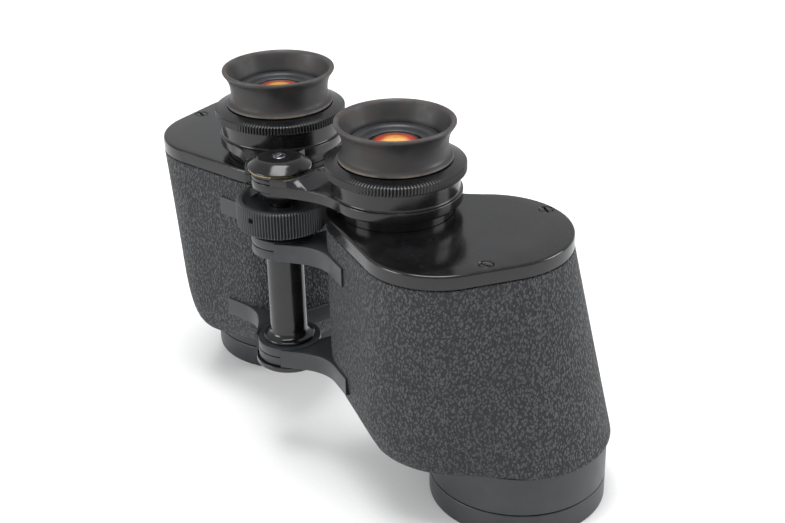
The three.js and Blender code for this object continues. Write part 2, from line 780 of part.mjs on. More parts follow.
const capProfile = [
  [0, bridgeBossTop + clearance],
  [capRadius, bridgeBossTop + clearance],
  [capRadius, bridgeBossTop + 0.8],
  [capRadius - 2.3, capTop - 0.6],
  [capRadius - 3.3, capTop - 0.2],
  [capScrewRoom, capTop],
  [capScrewRoom, capTop - 1.7],
  [0, capTop - 1.7],
];
const wheelScrewAngle = degrees(-76.7);
const wheelScrewHeight = (wheelBottom + wheelTop) / 2 + 1.2;

// A short rod that lies across the wheel's rim, pointing away from the hinge.
function radialRod(radius, from, to) {
  const geometry = new THREE.CylinderGeometry(radius, radius, to - from, 10);
  geometry.rotateZ(-Math.PI / 2);
  geometry.translate((from + to) / 2, 0, 0);
  geometry.rotateZ(wheelScrewAngle);
  geometry.translate(0, 0, wheelScrewHeight);
  return closed(geometry);
}

// ---- assembly --------------------------------------------------------------------------------
for (const [prefix, side] of [['left', 1], ['right', -1]]) {
  const named = (piece) => `${prefix}_${piece}`;
  const hidden = { x: objective.x, y: objective.y, sides: facets };
  const lens = { x: eye.x, y: eye.y, sides: hiddenFacets };
  add(named('housing'), 'black_satin', housing(side), side);
  add(named('covering'), 'leatherette', covering(), side);
  add(named('cover'), 'black_gloss', cover(), side);
  screwPlaces.forEach((place, i) => {
    const geometry = screw(2.2, 1.2, coverTop, 8.5, place);
    add(named(`cover_screw_${i + 1}`), 'black_gloss', geometry, side);
  });
  add(named('objective_bezel'), 'black_satin', turned(bezelProfile, objective), side);
  add(named('objective_barrel'), 'black_satin', turned(barrelProfile, objective), side);
  add(named('objective_cell'), 'black_inside', turned(cellProfile, hidden), side);
  add(named('objective_lock_ring'), 'black_inside', turned(lockRingProfile, hidden), side);
  const front = glass(objectiveRadius, frontFace, innerFace, hidden);
  const rear = glass(objectiveRadius, gapFace, rearFace, hidden);
  add(named('objective_front_lens'), 'coated_glass', front, side);
  add(named('objective_rear_lens'), 'coated_glass', rear, side);
  const upperFace = shelfTop + clearance;
  const lowerFace = shelfTop - shelfThickness - clearance;
  add(named('prism_shelf'), 'bright_steel', shelf(), side);
  add(named('upper_prism'), 'prism_glass', prismBlock(upperPrism, upperTurn, upperFace, 1), side);
  add(named('lower_prism'), 'prism_glass', prismBlock(lowerPrism, lowerTurn, lowerFace, -1), side);
  add(named('upper_strap'), 'bright_steel', prismStrap(upperPrism, upperTurn, upperFace, 1), side);
  add(named('lower_strap'), 'bright_steel', prismStrap(lowerPrism, lowerTurn, lowerFace, -1), side);
  add(named('eyepiece_guide'), 'black_gloss', turned(guideProfile, eye), side);
  add(named('eyepiece_arm'), 'black_satin', eyepieceArm(side), side);
  add(named('lens_tube'), 'black_inside', turned(lensTubeProfile, eye), side);
  add(named('knurled_collar'), 'black_satin', turned(collarProfile, eye), side);
  add(named('eyecup'), 'rubber', turned(cupProfile, eye), side);
  add(named('eye_bezel'), 'black_inside', turned(eyeBezelProfile, lens), side);
  const eyeLens = glass(eyeLensRadius, ...eyeLensFaces, lens);
  const fieldLens = glass(neckRadius - 0.6, ...fieldLensFaces, lens);
  add(named('eye_lens'), 'coated_glass', eyeLens, side);
  add(named('field_lens'), 'coated_glass', fieldLens, side);
}

add('hinge_tube', 'black_gloss', turned(hingeTubeProfile));
add('hinge_bottom_cap', 'black_gloss', turned(bottomCapProfile));
add('wheel_washer', 'black_satin', turned(washerProfile));
const wheelBlank = toSolid(turned(wheelProfile));
const screwBore = toSolid(radialRod(1.2, wheelRadius - 5, wheelRadius + 1));
add('focus_wheel', 'black_satin', toGeometry(wheelBlank.subtract(screwBore)));
add('wheel_set_screw', 'black_inside', radialRod(0.9, wheelRadius - 4.7, wheelRadius - 1.7));
add('focus_spindle', 'black_gloss', turned(spindleProfile));
add('hinge_cap', 'black_gloss', turned(capProfile));
add('cap_screw', 'bright_steel', screw(2.1, 1, capTop + 0.1, 1.5, { x: 0, y: 0 }));

// The model's own origin is the middle of the surface that it stands on.
const bounds = new THREE.Box3().setFromObject(group);
group.position.y = -(bounds.min.y + bounds.max.y) / 2;

export default group;
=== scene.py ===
# %% [markdown]
# # Centre-focus Porro-prism binoculars
#
# The glasses stand on their two objective barrels, and their halves are folded out for wide-set
# eyes. The CAD model gives every piece its place and its body. This lesson dresses it: each
# visible piece is made again as a smooth surface worked out with numpy, and each finish is
# a set of nodes that starts from what the real surface is.

# %% Load the frame
import math

import bmesh
import bpy
import numpy as np
from mathutils import Matrix, Vector


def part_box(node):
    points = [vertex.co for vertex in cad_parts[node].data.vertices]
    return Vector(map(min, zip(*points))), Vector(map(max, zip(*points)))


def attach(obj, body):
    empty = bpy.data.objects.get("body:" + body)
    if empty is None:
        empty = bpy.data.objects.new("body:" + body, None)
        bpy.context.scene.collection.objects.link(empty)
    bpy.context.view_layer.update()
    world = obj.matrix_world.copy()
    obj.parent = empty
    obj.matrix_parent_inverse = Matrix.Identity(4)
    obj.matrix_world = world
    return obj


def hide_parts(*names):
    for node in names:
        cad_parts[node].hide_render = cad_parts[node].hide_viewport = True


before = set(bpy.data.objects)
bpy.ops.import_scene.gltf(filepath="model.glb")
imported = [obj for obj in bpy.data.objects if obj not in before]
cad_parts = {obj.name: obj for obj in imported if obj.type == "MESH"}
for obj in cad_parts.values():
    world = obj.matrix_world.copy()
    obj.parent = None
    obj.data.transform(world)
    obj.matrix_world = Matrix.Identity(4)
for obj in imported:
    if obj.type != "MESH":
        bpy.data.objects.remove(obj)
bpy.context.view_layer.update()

# %% [markdown]
# ## The camera
#
# The camera looks down at the hinge side from the left front, a little closer to the left half,
# so that its barrel is bigger than the far one. Its place could be tried by eye. Here it
# is where a fit of the round rims put it, given from the foot of the hinge axis, with the
# direction that it looks in and a small roll.

# %% Camera
wheel_low, wheel_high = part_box("focus_wheel")
hinge = np.array([0.0, (wheel_low.y + wheel_high.y) / 2, 0.0])
CAMERA_FROM_HINGE = Vector((0.3739, -0.2346, 0.2966))
CAMERA_FORWARD = Vector((-0.7135, 0.5377, -0.4493)).normalized()
CAMERA_ROLL = -0.021
FOCAL_LENGTH_MM = 64.2
SENSOR_WIDTH_MM = 36.0


def aimed(place, forward, roll):
    """A camera's matrix: its columns are its right, its up and its back, turned by roll."""
    right = forward.cross(Vector((0, 0, 1))).normalized()
    up = right.cross(forward)
    rolled_right = right * math.cos(roll) + up * math.sin(roll)
    rolled_up = up * math.cos(roll) - right * math.sin(roll)
    turn = Matrix((rolled_right, rolled_up, -forward)).transposed().to_4x4()
    return Matrix.Translation(place) @ turn


camera = bpy.data.objects.new("camera", bpy.data.cameras.new("camera"))
camera.data.lens = FOCAL_LENGTH_MM
camera.data.sensor_width = SENSOR_WIDTH_MM
camera.data.sensor_fit = "HORIZONTAL"
camera.data.clip_start = 0.01
camera.matrix_world = aimed(Vector(hinge) + CAMERA_FROM_HINGE, CAMERA_FORWARD, CAMERA_ROLL)
bpy.context.collection.objects.link(camera)
bpy.context.scene.camera = camera
print("the camera is", round(CAMERA_FROM_HINGE.length, 3), "m from the hinge's foot")

# %% [markdown]
# ## Colours and shader nodes
#
# A colour is easiest to name as the hex value that it has on a screen, but shader nodes work
# in linear light, so one function turns each hex value to linear. Another small function adds
# a node: its own options are keyword settings, and each input is a value or the socket that
# feeds it. Every finish below is built with these two.


# %% Helpers for materials
def linear(hex_colour):
    """An sRGB hex colour as linear RGBA: ((c + 0.055) / 1.055) ^ 2.4 for each channel c."""
    channels = np.array([int(hex_colour[i : i + 2], 16) for i in (0, 2, 4)]) / 255
    bright = ((channels + 0.055) / 1.055) ** 2.4
    return (*np.where(channels > 0.04045, bright, channels / 12.92), 1.0)


def add_node(tree, kind, inputs=None, **settings):
    """Adds one node: settings are its own options, inputs are values or the sockets that feed it."""
    made = tree.nodes.new(kind)
    for option, value in settings.items():
        setattr(made, option, value)
    for socket, value in (inputs or {}).items():
        if isinstance(value, bpy.types.NodeSocket):
            tree.links.new(value, made.inputs[socket])
        else:
            made.inputs[socket].default_value = value
    return made


MILLIMETRES = 1000.0  # Object coordinates are metres, and patterns are sized in millimetres


def new_material(name, **fixed):
    """A material with its Principled shader, and Object coordinates scaled to millimetres."""
    material = bpy.data.materials.new(name)
    material.use_nodes = True
    tree = material.node_tree
    tree.nodes.clear()
    shader = add_node(tree, "ShaderNodeBsdfPrincipled", fixed)
    add_node(tree, "ShaderNodeOutputMaterial", {"Surface": shader.outputs["BSDF"]})
    place = add_node(tree, "ShaderNodeTexCoord").outputs["Object"]
    scale = (MILLIMETRES,) * 3
    millimetres = add_node(tree, "ShaderNodeMapping", {"Vector": place, "Scale": scale})
    return material, tree, shader, millimetres.outputs["Vector"]


def noise(tree, place, grain_mm, detail=3.0, roughness=0.55):
    """Cloudy noise from 0 to 1 whose patches are about grain_mm across."""
    inputs = {"Vector": place, "Scale": 1 / grain_mm, "Detail": detail, "Roughness": roughness}
    return add_node(tree, "ShaderNodeTexNoise", inputs).outputs["Fac"]


def between(tree, value, low, high, to_low=0.0, to_high=1.0):
    """Moves value from the range low to high into the range to_low to to_high, smoothly and clamped."""
    inputs = {"Value": value, 1: low, 2: high, 3: to_low, 4: to_high}
    kind = "ShaderNodeMapRange"
    return add_node(tree, kind, inputs, interpolation_type="SMOOTHSTEP").outputs[0]


def sums(tree, operation, a, b):
    """One arithmetic operation on two numbers or sockets."""
    return add_node(tree, "ShaderNodeMath", {0: a, 1: b}, operation=operation).outputs[0]


def mixed(tree, share, a, b):
    """A blend of two colours: a where share is 0, b where it is 1."""
    inputs = {0: share, 6: a, 7: b}
    kind = "ShaderNodeMix"
    return add_node(tree, kind, inputs, data_type="RGBA").outputs[2]


def relief(tree, height, depth_mm, under=None):
    """A bump normal whose height 1 stands depth_mm proud, laid over another bump if one is given."""
    inputs = {"Height": height, "Distance": depth_mm / MILLIMETRES}
    if under is not None:
        inputs["Normal"] = under
    return add_node(tree, "ShaderNodeBump", inputs).outputs["Normal"]


def feed(tree, shader, **sockets):
    """Links or sets shader sockets by name, with an underscore for each space."""
    for name, value in sockets.items():
        socket = shader.inputs[name.replace("_", " ")]
        tree.links.new(value, socket)


print("white is", linear("ffffff"), "and mid grey is", linear("808080"))

# %% [markdown]
# ## Black enamel
#
# The cast and turned metal is sprayed with black enamel. Baked satin enamel has a very fine
# ripple and scatters its highlight, while the polished enamel of the covers and tubes gives
# a clear reflection. Both could be one flat black, but real enamel shows specks of dust, cloudy
# handling marks and slightly uneven gloss, so those are mixed in at their real sizes.


# %% Satin and gloss enamel
def enamel(name, colour, dusty, gloss, ripple_mm, ripple_depth_mm):
    """Black enamel on metal: gloss is its roughness from polished to handled places."""
    material, tree, shader, place = new_material(name, **{"Specular IOR Level": 0.5})
    clouds = noise(tree, place, 9.0)
    handled = between(tree, clouds, 0.35, 0.7)
    specks = between(tree, noise(tree, place, 0.35, detail=1.0), 0.74, 0.8)
    film = mixed(tree, handled, linear(colour), linear(dusty))
    dusted = mixed(tree, sums(tree, "MULTIPLY", specks, 0.5), film, linear("8d8a84"))
    rough = between(tree, clouds, 0.3, 0.75, *gloss)
    ripple = noise(tree, place, ripple_mm, detail=2.0)
    bump = relief(tree, ripple, ripple_depth_mm)
    feed(tree, shader, Base_Color=dusted, Roughness=rough, Normal=bump)
    return material


satin_enamel = enamel("satin_black_enamel", "242629", "2d2e30", (0.34, 0.46), 0.5, 0.006)
bridge_enamel = enamel("polished_black_enamel", "101012", "171718", (0.16, 0.24), 1.2, 0.004)
gloss_enamel = enamel("gloss_black_enamel", "0d0d0e", "161516", (0.13, 0.22), 2.2, 0.005)
print("enamels:", satin_enamel.name, "and", gloss_enamel.name)

# %% [markdown]
# ## Leatherette
#
# The body is wrapped in a black vinyl-coated cloth that is embossed with a fine, leaning grain.
# It could be one plain Voronoi pattern, but its cells would be too even. Here the cells are
# turned, stretched and bent by noise, their smooth distance makes low domes, and finer noise
# wrinkles them. The pits between the domes are painted darker, as painted shade, so the crowns
# look lighter; the crowns are also smoother, as hands polish them.

# %% Leatherette
PEBBLE_MM = 0.8
WRINKLE_MM = 0.45
LEAN = (0.9, 0.5, 0.35)  # the embossing roller's turn, in radians
STRETCH = (1.0, 1.0, 0.62)


def leatherette():
    """Embossed vinyl: domes that fall from each Voronoi cell's middle, with finer wrinkles."""
    material, tree, shader, place = new_material("pebbled_leatherette", **{"Specular IOR Level": 0.5})
    leant = add_node(tree, "ShaderNodeMapping", {"Vector": place, "Rotation": LEAN, "Scale": STRETCH})
    leant = leant.outputs["Vector"]
    bend = add_node(tree, "ShaderNodeTexNoise", {"Vector": leant, "Scale": 0.8, "Detail": 2.0})
    inputs = {0: bend.outputs["Color"], 1: (0.5,) * 3}
    centred = add_node(tree, "ShaderNodeVectorMath", inputs, operation="SUBTRACT")
    inputs = {0: centred.outputs[0], "Scale": 1.2}
    pull = add_node(tree, "ShaderNodeVectorMath", inputs, operation="SCALE")
    bent = add_node(tree, "ShaderNodeVectorMath", {0: leant, 1: pull.outputs[0]}).outputs[0]
    inputs = {"Vector": bent, "Scale": 1 / PEBBLE_MM, "Smoothness": 0.25}
    cells = add_node(tree, "ShaderNodeTexVoronoi", inputs, feature="SMOOTH_F1")
    domes = between(tree, cells.outputs["Distance"], 0.12, 0.72, 1.0, 0.0)
    wrinkles = noise(tree, bent, WRINKLE_MM, detail=2.0)
    grain = sums(tree, "ADD", sums(tree, "MULTIPLY", domes, 0.7), sums(tree, "MULTIPLY", wrinkles, 0.3))
    worn = between(tree, noise(tree, place, 22.0), 0.3, 0.75)
    crown = mixed(tree, worn, linear("3b3d40"), linear("444649"))
    # painted shade: the colour darkens from the crowns down into the pits between the domes
    colour = mixed(tree, between(tree, grain, 0.2, 0.6), linear("1b1c1e"), crown)
    rough = between(tree, grain, 0.2, 0.8, 0.75, 0.48)
    fine = relief(tree, noise(tree, place, 0.25, detail=2.0), 0.015)
    bump = relief(tree, grain, 0.9, fine)
    feed(tree, shader, Base_Color=colour, Roughness=rough, Normal=bump)
    return material


leather = leatherette()
print("a leatherette cell is", PEBBLE_MM, "mm, and a wrinkle", WRINKLE_MM, "mm")

# %% [markdown]
# ## Rubber, glass and bright metal
#
# The eyecups are old black rubber: dull, browned by light and hands, with pale dust in the
# crease at the base. The eye lenses have an amber coating, and their yellow middle and red edge
# are painted light: a painted reflection of the coating and the bright pupil seen through the lens.
# Bare steel is left on the cap's screw and the prism straps, and every surface that light must
# not bounce from is painted matt black.


# %% Rubber
def browned_rubber(crease_height_mm, rim_height_mm):
    """Old rubber: brown patches all over, pale dust low down at the crease and a paler colour at the
    rim.
    """
    material, tree, shader, place = new_material("browned_black_rubber")
    height = add_node(tree, "ShaderNodeSeparateXYZ", {"Vector": place}).outputs["Z"]
    patches = noise(tree, place, 7.0, detail=5.0)
    brown = between(tree, patches, 0.42, 0.68)
    body = mixed(tree, brown, linear("232324"), linear("2e2926"))
    low = between(tree, height, crease_height_mm + 0.3, crease_height_mm + 1.2, 1.0, 0.0)
    dust = sums(tree, "MULTIPLY", low, between(tree, patches, 0.35, 0.65, 0.05, 0.75))
    dusted = mixed(tree, dust, body, linear("75695a"))
    # paler towards the rim: the top 1.6 mm of the cup is blended towards a brown-grey in patches of
    # noise
    high = between(tree, height, rim_height_mm - 1.6, rim_height_mm - 0.2)
    rim = sums(tree, "MULTIPLY", high, between(tree, noise(tree, place, 6.0), 0.3, 0.7, 0.2, 0.6))
    colour = mixed(tree, rim, dusted, linear("4d4743"))
    rough = between(tree, patches, 0.3, 0.7, 0.42, 0.62)
    bump = relief(tree, noise(tree, place, 0.4, detail=2.0), 0.015)
    feed(tree, shader, Base_Color=colour, Roughness=rough, Normal=bump)
    return material


# %% [markdown]
# ## Coated glass
#
# An anti-reflection coating is a few layers thinner than light's wavelength, so its colour
# changes with the slant of the surface. A thin-film formula could give that, but here three tints
# blended by the distance from the lens's axis are painted into the base colour: a painted
# reflection that shows the same rings and is easy to steer.

# %% Coated glass
def coated_glass(name, centre, radius, middle, ring, edge):
    """A coated lens: its painted tint, which stands for reflected light, runs from middle to ring to
    edge with the distance from its axis.
    """
    material, tree, shader, place = new_material(name, **{"Roughness": 0.04, "Coat Weight": 1.0})
    shader.inputs["Coat Roughness"].default_value = 0.02
    shader.inputs["Specular IOR Level"].default_value = 0.8
    flat = add_node(tree, "ShaderNodeVectorMath", {0: place, 1: (1.0, 1.0, 0.0)}, operation="MULTIPLY")
    away = add_node(
        tree, "ShaderNodeVectorMath", {0: flat.outputs[0], 1: (*centre, 0.0)}, operation="DISTANCE"
    )
    share = sums(tree, "DIVIDE", away.outputs["Value"], radius)
    inner = mixed(tree, between(tree, share, 0.3, 0.62), linear(middle), linear(ring))
    # painted reflection: noise streaks blend the edge tint in across the lens
    painted_streaks = noise(tree, place, 3.0)
    outer = mixed(tree, between(tree, share, 0.7, 0.98), inner, linear(edge))
    colour = mixed(tree, between(tree, painted_streaks, 0.5, 0.75, 0.0, 0.35), outer, linear(edge))
    feed(tree, shader, Base_Color=colour)
    return material


# %% [markdown]
# ## Prism glass and bare metal
#
# Prisms are hidden inside, but they are finished as they are: clear faces and ground sides.
# Bare metal shows the fine rings of the tool that turned it. A texture map could carry the
# rings, but noise that is stretched flat in height follows every turned piece by itself.

# %% Ground and polished prism glass
def prism_glass():
    """A prism's glass: polished faces, a faint green cast and finely ground sides."""
    settings = {"IOR": 1.57, "Transmission Weight": 0.85}
    material, tree, shader, place = new_material("prism_glass", **settings)
    ground = noise(tree, place, 0.3, detail=2.0)
    rough = between(tree, ground, 0.3, 0.7, 0.02, 0.2)
    colour = mixed(tree, noise(tree, place, 8.0), linear("e4efec"), linear("cfdcd9"))
    feed(tree, shader, Base_Color=colour, Roughness=rough, Normal=relief(tree, ground, 0.002))
    return material


# %% Bright steel and brass
def turned_metal(name, bright, dull, roughness):
    """Bare turned metal: fine tool rings follow the height, and stains dull it in patches."""
    material, tree, shader, place = new_material(name, Metallic=1.0)
    stretch = add_node(tree, "ShaderNodeMapping", {"Vector": place, "Scale": (0.4, 0.4, 14.0)})
    rings = noise(tree, stretch.outputs["Vector"], 1.0, detail=2.0)
    stains = between(tree, noise(tree, place, 2.5, detail=4.0), 0.4, 0.72)
    colour = mixed(tree, stains, linear(bright), linear(dull))
    low, high = roughness
    rough = between(tree, rings, 0.3, 0.7, low, high)
    feed(tree, shader, Base_Color=colour, Roughness=rough, Normal=relief(tree, rings, 0.008))
    return material


# %% Matt black for the insides
def matt_black():
    """Flat black paint inside the tubes: a fine grit that scatters what light reaches it."""
    material, tree, shader, place = new_material("matt_black_paint")
    grit = noise(tree, place, 0.3, detail=3.0)
    colour = mixed(tree, between(tree, grit, 0.3, 0.7), linear("0e0e0f"), linear("1d1d1f"))
    rough = between(tree, grit, 0.3, 0.7, 0.6, 0.85)
    feed(tree, shader, Base_Color=colour, Roughness=rough, Normal=relief(tree, grit, 0.03))
    return material


steel = turned_metal("bright_turned_steel", "c3c6ca", "8e9094", (0.16, 0.32))
brass = turned_metal("tarnished_brass", "b89a5e", "7a6238", (0.25, 0.42))
inside_black = matt_black()
prism = prism_glass()
print("metals and glass are ready")

# %% [markdown]
# ## Measures from the CAD model
#
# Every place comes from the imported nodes. The hinge axis is the middle of the focusing wheel,
# and all profiles below are written in millimetres from that axis, because a round piece is
# then a list of radii and heights. One function measures a round node: its axis, its radius,
# and how low and high it reaches.

# %% Measure the frame
GAP = 0.3  # between two pieces that touch or slide


def measured(name):
    """A node's lowest and highest corner, in millimetres from the foot of the hinge axis."""
    low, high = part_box(name)
    return (np.array(low) - hinge) * MILLIMETRES, (np.array(high) - hinge) * MILLIMETRES


def round_node(name):
    """Axis, radius, bottom and top of a round node. Its radius is half its depth."""
    low, high = measured(name)
    return (low[:2] + high[:2]) / 2, (high[1] - low[1]) / 2, low[2], high[2]


eye, cup_rim, cup_base, cup_top = round_node("left_eyecup")
objective, barrel_radius, _, bezel_top = round_node("left_objective_bezel")
_, _, barrel_bottom, neck_top = round_node("left_objective_barrel")
_, guide_radius, guide_bottom, guide_top = round_node("left_eyepiece_guide")
_, collar_radius, collar_bottom, collar_top = round_node("left_knurled_collar")
_, tube_radius, tube_bottom, neck_rim = round_node("left_lens_tube")
_, bezel_radius, bezel_bottom, bezel_face = round_node("left_eye_bezel")
_, eye_lens_radius, lens_bottom, lens_crown = round_node("left_eye_lens")
_, wheel_radius, wheel_bottom, wheel_top = round_node("focus_wheel")
cover_bottom, cover_top = (corner[2] for corner in measured("left_cover"))
leather_bottom, leather_top = (corner[2] for corner in measured("left_covering"))
arm_bottom, sleeve_top = (corner[2] for corner in measured("left_eyepiece_arm"))
print("eyepiece axis", eye.round(2), "objective axis", objective.round(2), "mm")

# %% [markdown]
# ## Surfaces as grids
#
# Every new piece is a grid of points: rows along one parameter and columns along the other,
# joined by four-sided faces. A grid that wraps both ways is a closed ring, one that ends on
# an axis closes in a pole, and one whose ends are flat gets a many-sided face there. Such
# pieces could be modelled by hand and smoothed, but computed grids follow the CAD sizes
# exactly and change with them.


# %% Helpers for meshes
def grid_faces(rows, columns, wrap_rows=True, wrap_columns=True):
    """Corner numbers of a grid's faces: each joins a point, its right, and the two above."""
    row = np.arange(rows if wrap_rows else rows - 1)[:, None]
    column = np.arange(columns if wrap_columns else columns - 1)[None, :]
    next_row = (row + 1) % rows
    next_column = (column + 1) % columns
    corners = (
        row * columns + column,
        row * columns + next_column,
        next_row * columns + next_column,
        next_row * columns + column,
    )
    return np.stack([np.broadcast_to(c, corners[2].shape) for c in corners], -1).reshape(-1, 4)


def ring_shell(rows):
    """A closed ring: rows of points that wrap round, whose last row joins the first."""
    rows = np.asarray(rows, float)
    return rows.reshape(-1, 3), grid_faces(rows.shape[0], rows.shape[1]).tolist()


def capped_shell(rows):
    """A closed block: rows of points that wrap round, with a flat face over the first and the last."""
    rows = np.asarray(rows, float)
    count, columns = rows.shape[:2]
    faces = grid_faces(count, columns, wrap_rows=False).tolist()
    last = (count - 1) * columns
    faces += [list(range(columns))[::-1], list(range(last, last + columns))]
    return rows.reshape(-1, 3), faces


def rounded(profile, cut, steps=4, closed=True):
    """Rounds a profile's corners: P becomes (1-t)²A + 2t(1-t)P + t²B.

    A and B lie up to cut along the corner's two sides.
    """
    corners = np.asarray(profile, float)
    cuts = np.broadcast_to(np.asarray(cut, float), (len(corners),))[:, None]
    before = np.roll(corners, 1, 0) - corners
    after = np.roll(corners, -1, 0) - corners
    long_before = np.linalg.norm(before, axis=1, keepdims=True)
    long_after = np.linalg.norm(after, axis=1, keepdims=True)
    a = corners + before * np.minimum(cuts / long_before, 0.45)
    b = corners + after * np.minimum(cuts / long_after, 0.45)
    t = np.linspace(0, 1, steps + 1)[None, :, None]
    curve = (1 - t) ** 2 * a[:, None] + 2 * t * (1 - t) * corners[:, None] + t**2 * b[:, None]
    if closed:
        return curve.reshape(-1, 2)
    middle = curve[1:-1].reshape(-1, 2)
    return np.concatenate([corners[:1], middle, corners[-1:]])


def turned(profile, axis=(0.0, 0.0), steps=192, change=None):
    """A profile of (radius, height) carried round a vertical axis: x = r cos a, y = r sin a.

    Change adds to the radius at each angle and point.
    """
    profile = np.asarray(profile, float)
    angle = np.linspace(0, 2 * np.pi, steps, endpoint=False)[:, None]
    radius = np.broadcast_to(profile[:, 0], (steps, len(profile)))
    if change is not None:
        radius = radius + change(angle, profile)
    height = np.broadcast_to(profile[:, 1], radius.shape)
    grid = np.stack(
        [axis[0] + radius * np.cos(angle), axis[1] + radius * np.sin(angle), height], -1
    )
    on_axis = profile[0, 0] == 0 and profile[-1, 0] == 0
    faces = grid_faces(steps, len(profile), wrap_columns=not on_axis)
    return grid.reshape(-1, 3), faces.tolist()


def shell_mesh(name, shells, side=1):
    """One mesh in metres from closed shells in millimetres, welded, with its faces outward."""
    points = np.concatenate([shell[0] for shell in shells]) * (side, 1, 1)
    starts = np.cumsum([0] + [len(shell[0]) for shell in shells])
    faces = [[start + i for i in face] for start, shell in zip(starts, shells) for face in shell[1]]
    mesh = bpy.data.meshes.new(name)
    mesh.from_pydata(points / MILLIMETRES + hinge, [], faces)
    work = bmesh.new()
    work.from_mesh(mesh)
    bmesh.ops.remove_doubles(work, verts=work.verts, dist=1e-7)
    bmesh.ops.recalc_face_normals(work, faces=work.faces)
    work.to_mesh(mesh)
    work.free()
    return mesh


def make_piece(name, shells, finish, body, stands_for=(), side=1, crease=40.0):
    """Joins closed shells into one object in metres, faces outward, and puts it on its body.

    Side -1 mirrors it to the right half.
    """
    mesh = shell_mesh(name, shells, side)
    mesh.polygons.foreach_set("use_smooth", np.ones(len(mesh.polygons), bool))
    mesh.set_sharp_from_angle(angle=math.radians(crease))
    mesh.materials.append(finish)
    piece = bpy.data.objects.new(name, mesh)
    bpy.context.collection.objects.link(piece)
    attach(piece, body)
    if stands_for:
        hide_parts(*stands_for)
    print(name, "has", len(mesh.polygons), "faces")
    return piece

# %% [markdown]
# ## The shape of the body
#
# Seen from above, each half is three round lobes at the top: one about the eyepiece and two
# about the prisms. At the bottom it wraps the objective barrel. The wall between leans out
# in straight lines on its outer side, and stays upright at the hinge before it curves in.
# It could be sculpted, but as a formula the leatherette, the casting and the cover all share
# it, each with its own inset.

# %% Outline of one half
LOBE_MARGIN = 4.3  # the cover's round end, wider than the eyepiece guide by this
FRONT_LOBE = (np.array([-8.2, -28.8]), 25.0)  # place from the objective's axis, and radius
BACK_LOBE = (np.array([-5.0, -10.5]), 28.0)
LOW_LOBE = (np.array([-8.6, -18.8]), 24.5)
SKIRT_MARGIN = 1.4  # the covering's foot, wider than the barrel by this
ROUNDING_START = 52.0  # the hinge side curves in below this height
CORNER_POWER = 2.4  # 2 would be a quarter ellipse, and more is squarer
RING_POINTS = 224


def arc(centre, radius, start, end, steps=48):
    """Points on a circle from one angle to another, in degrees: centre + radius (cos a, sin a)."""
    angle = np.radians(np.linspace(start, end, steps))
    return centre + radius * np.stack([np.cos(angle), np.sin(angle)], -1)


lobe_radius = guide_radius + LOBE_MARGIN
wall_foot = leather_bottom - GAP
top_outline = np.concatenate([
    arc(eye, lobe_radius, 82, 257),
    arc(objective + FRONT_LOBE[0], FRONT_LOBE[1], -103, -18),
    arc(objective + BACK_LOBE[0], BACK_LOBE[1], -18, 143),
])
foot_outline = np.concatenate([
    arc(objective, barrel_radius + SKIRT_MARGIN, -34, 176),
    arc(objective + LOW_LOBE[0], LOW_LOBE[1], 176, 326),
])
body_middle = (eye + objective) / 2 + (3, -5)


def reach(outline, angle):
    """How far rays from the body's middle go before they leave an outline.

    Each ray crosses each edge's line somewhere: the farthest crossing on an edge counts.
    """
    ray = np.stack([np.cos(angle), np.sin(angle)], -1)[:, None]
    edge = (np.roll(outline, -1, 0) - outline)[None]
    to_start = (outline - body_middle)[None]
    cross = ray[..., 0] * edge[..., 1] - ray[..., 1] * edge[..., 0]
    cross = np.where(np.abs(cross) < 1e-9, np.nan, cross)
    along = (to_start[..., 0] * edge[..., 1] - to_start[..., 1] * edge[..., 0]) / cross
    share = (to_start[..., 0] * ray[..., 1] - to_start[..., 1] * ray[..., 0]) / cross
    return np.nanmax(np.where((share >= 0) & (share <= 1), along, np.nan), axis=1)


ring_angle = np.linspace(0, 2 * np.pi, RING_POINTS, endpoint=False)
top_reach = reach(top_outline, ring_angle)
foot_reach = reach(foot_outline, ring_angle)
upright = np.clip(0.5 + 1.2 * np.cos(ring_angle - math.radians(205)), 0, 1)


def inward(outline, inset):
    """Moves a closed outline inward along its normals, by inset."""
    along = np.roll(outline, -1, 0) - np.roll(outline, 1, 0)
    along /= np.linalg.norm(along, axis=1, keepdims=True)
    return outline + inset * np.stack([-along[:, 1], along[:, 0]], -1)


def body_ring(height, inset=0.0, at=None):
    """The body's outline at a height: each ray's reach runs from the top outline's to the foot's.

    The share is a straight line down the leaning sides, and 1 - (1 - c^n)^(1/n) at the hinge,
    where c grows from 0 to 1 down the corner. At is the height it is drawn at, if another.
    """
    drop = (cover_bottom - height) / (cover_bottom - wall_foot)
    curl = np.clip((ROUNDING_START - height) / (ROUNDING_START - wall_foot), 0, 1)
    tuck = 1 - (1 - curl**CORNER_POWER) ** (1 / CORNER_POWER)
    share = drop + (tuck - drop) * upright
    radius = top_reach + (foot_reach - top_reach) * share
    rays = np.stack([np.cos(ring_angle), np.sin(ring_angle)], -1)
    outline = inward(body_middle + radius[:, None] * rays, inset)
    drawn = height if at is None else at
    return np.column_stack([outline, np.full(RING_POINTS, float(drawn))])


print("the cover is", round(float(np.ptp(top_outline[:, 0])), 1), "mm long")

# %% [markdown]
# ## The leatherette and the casting
#
# The covering is a millimetre thick, with soft edges where it was cut. It is a closed ring:
# up the outside, over the top edge, down the inside and under. Its heights crowd towards
# the bottom, where the wall turns in most. The cast housing behind it is the same form with
# its own inset, closed by a floor that has the hole for the barrel.

# %% Leatherette covering
LEATHER_THICK = 1.0
EDGE_INSET = 0.6


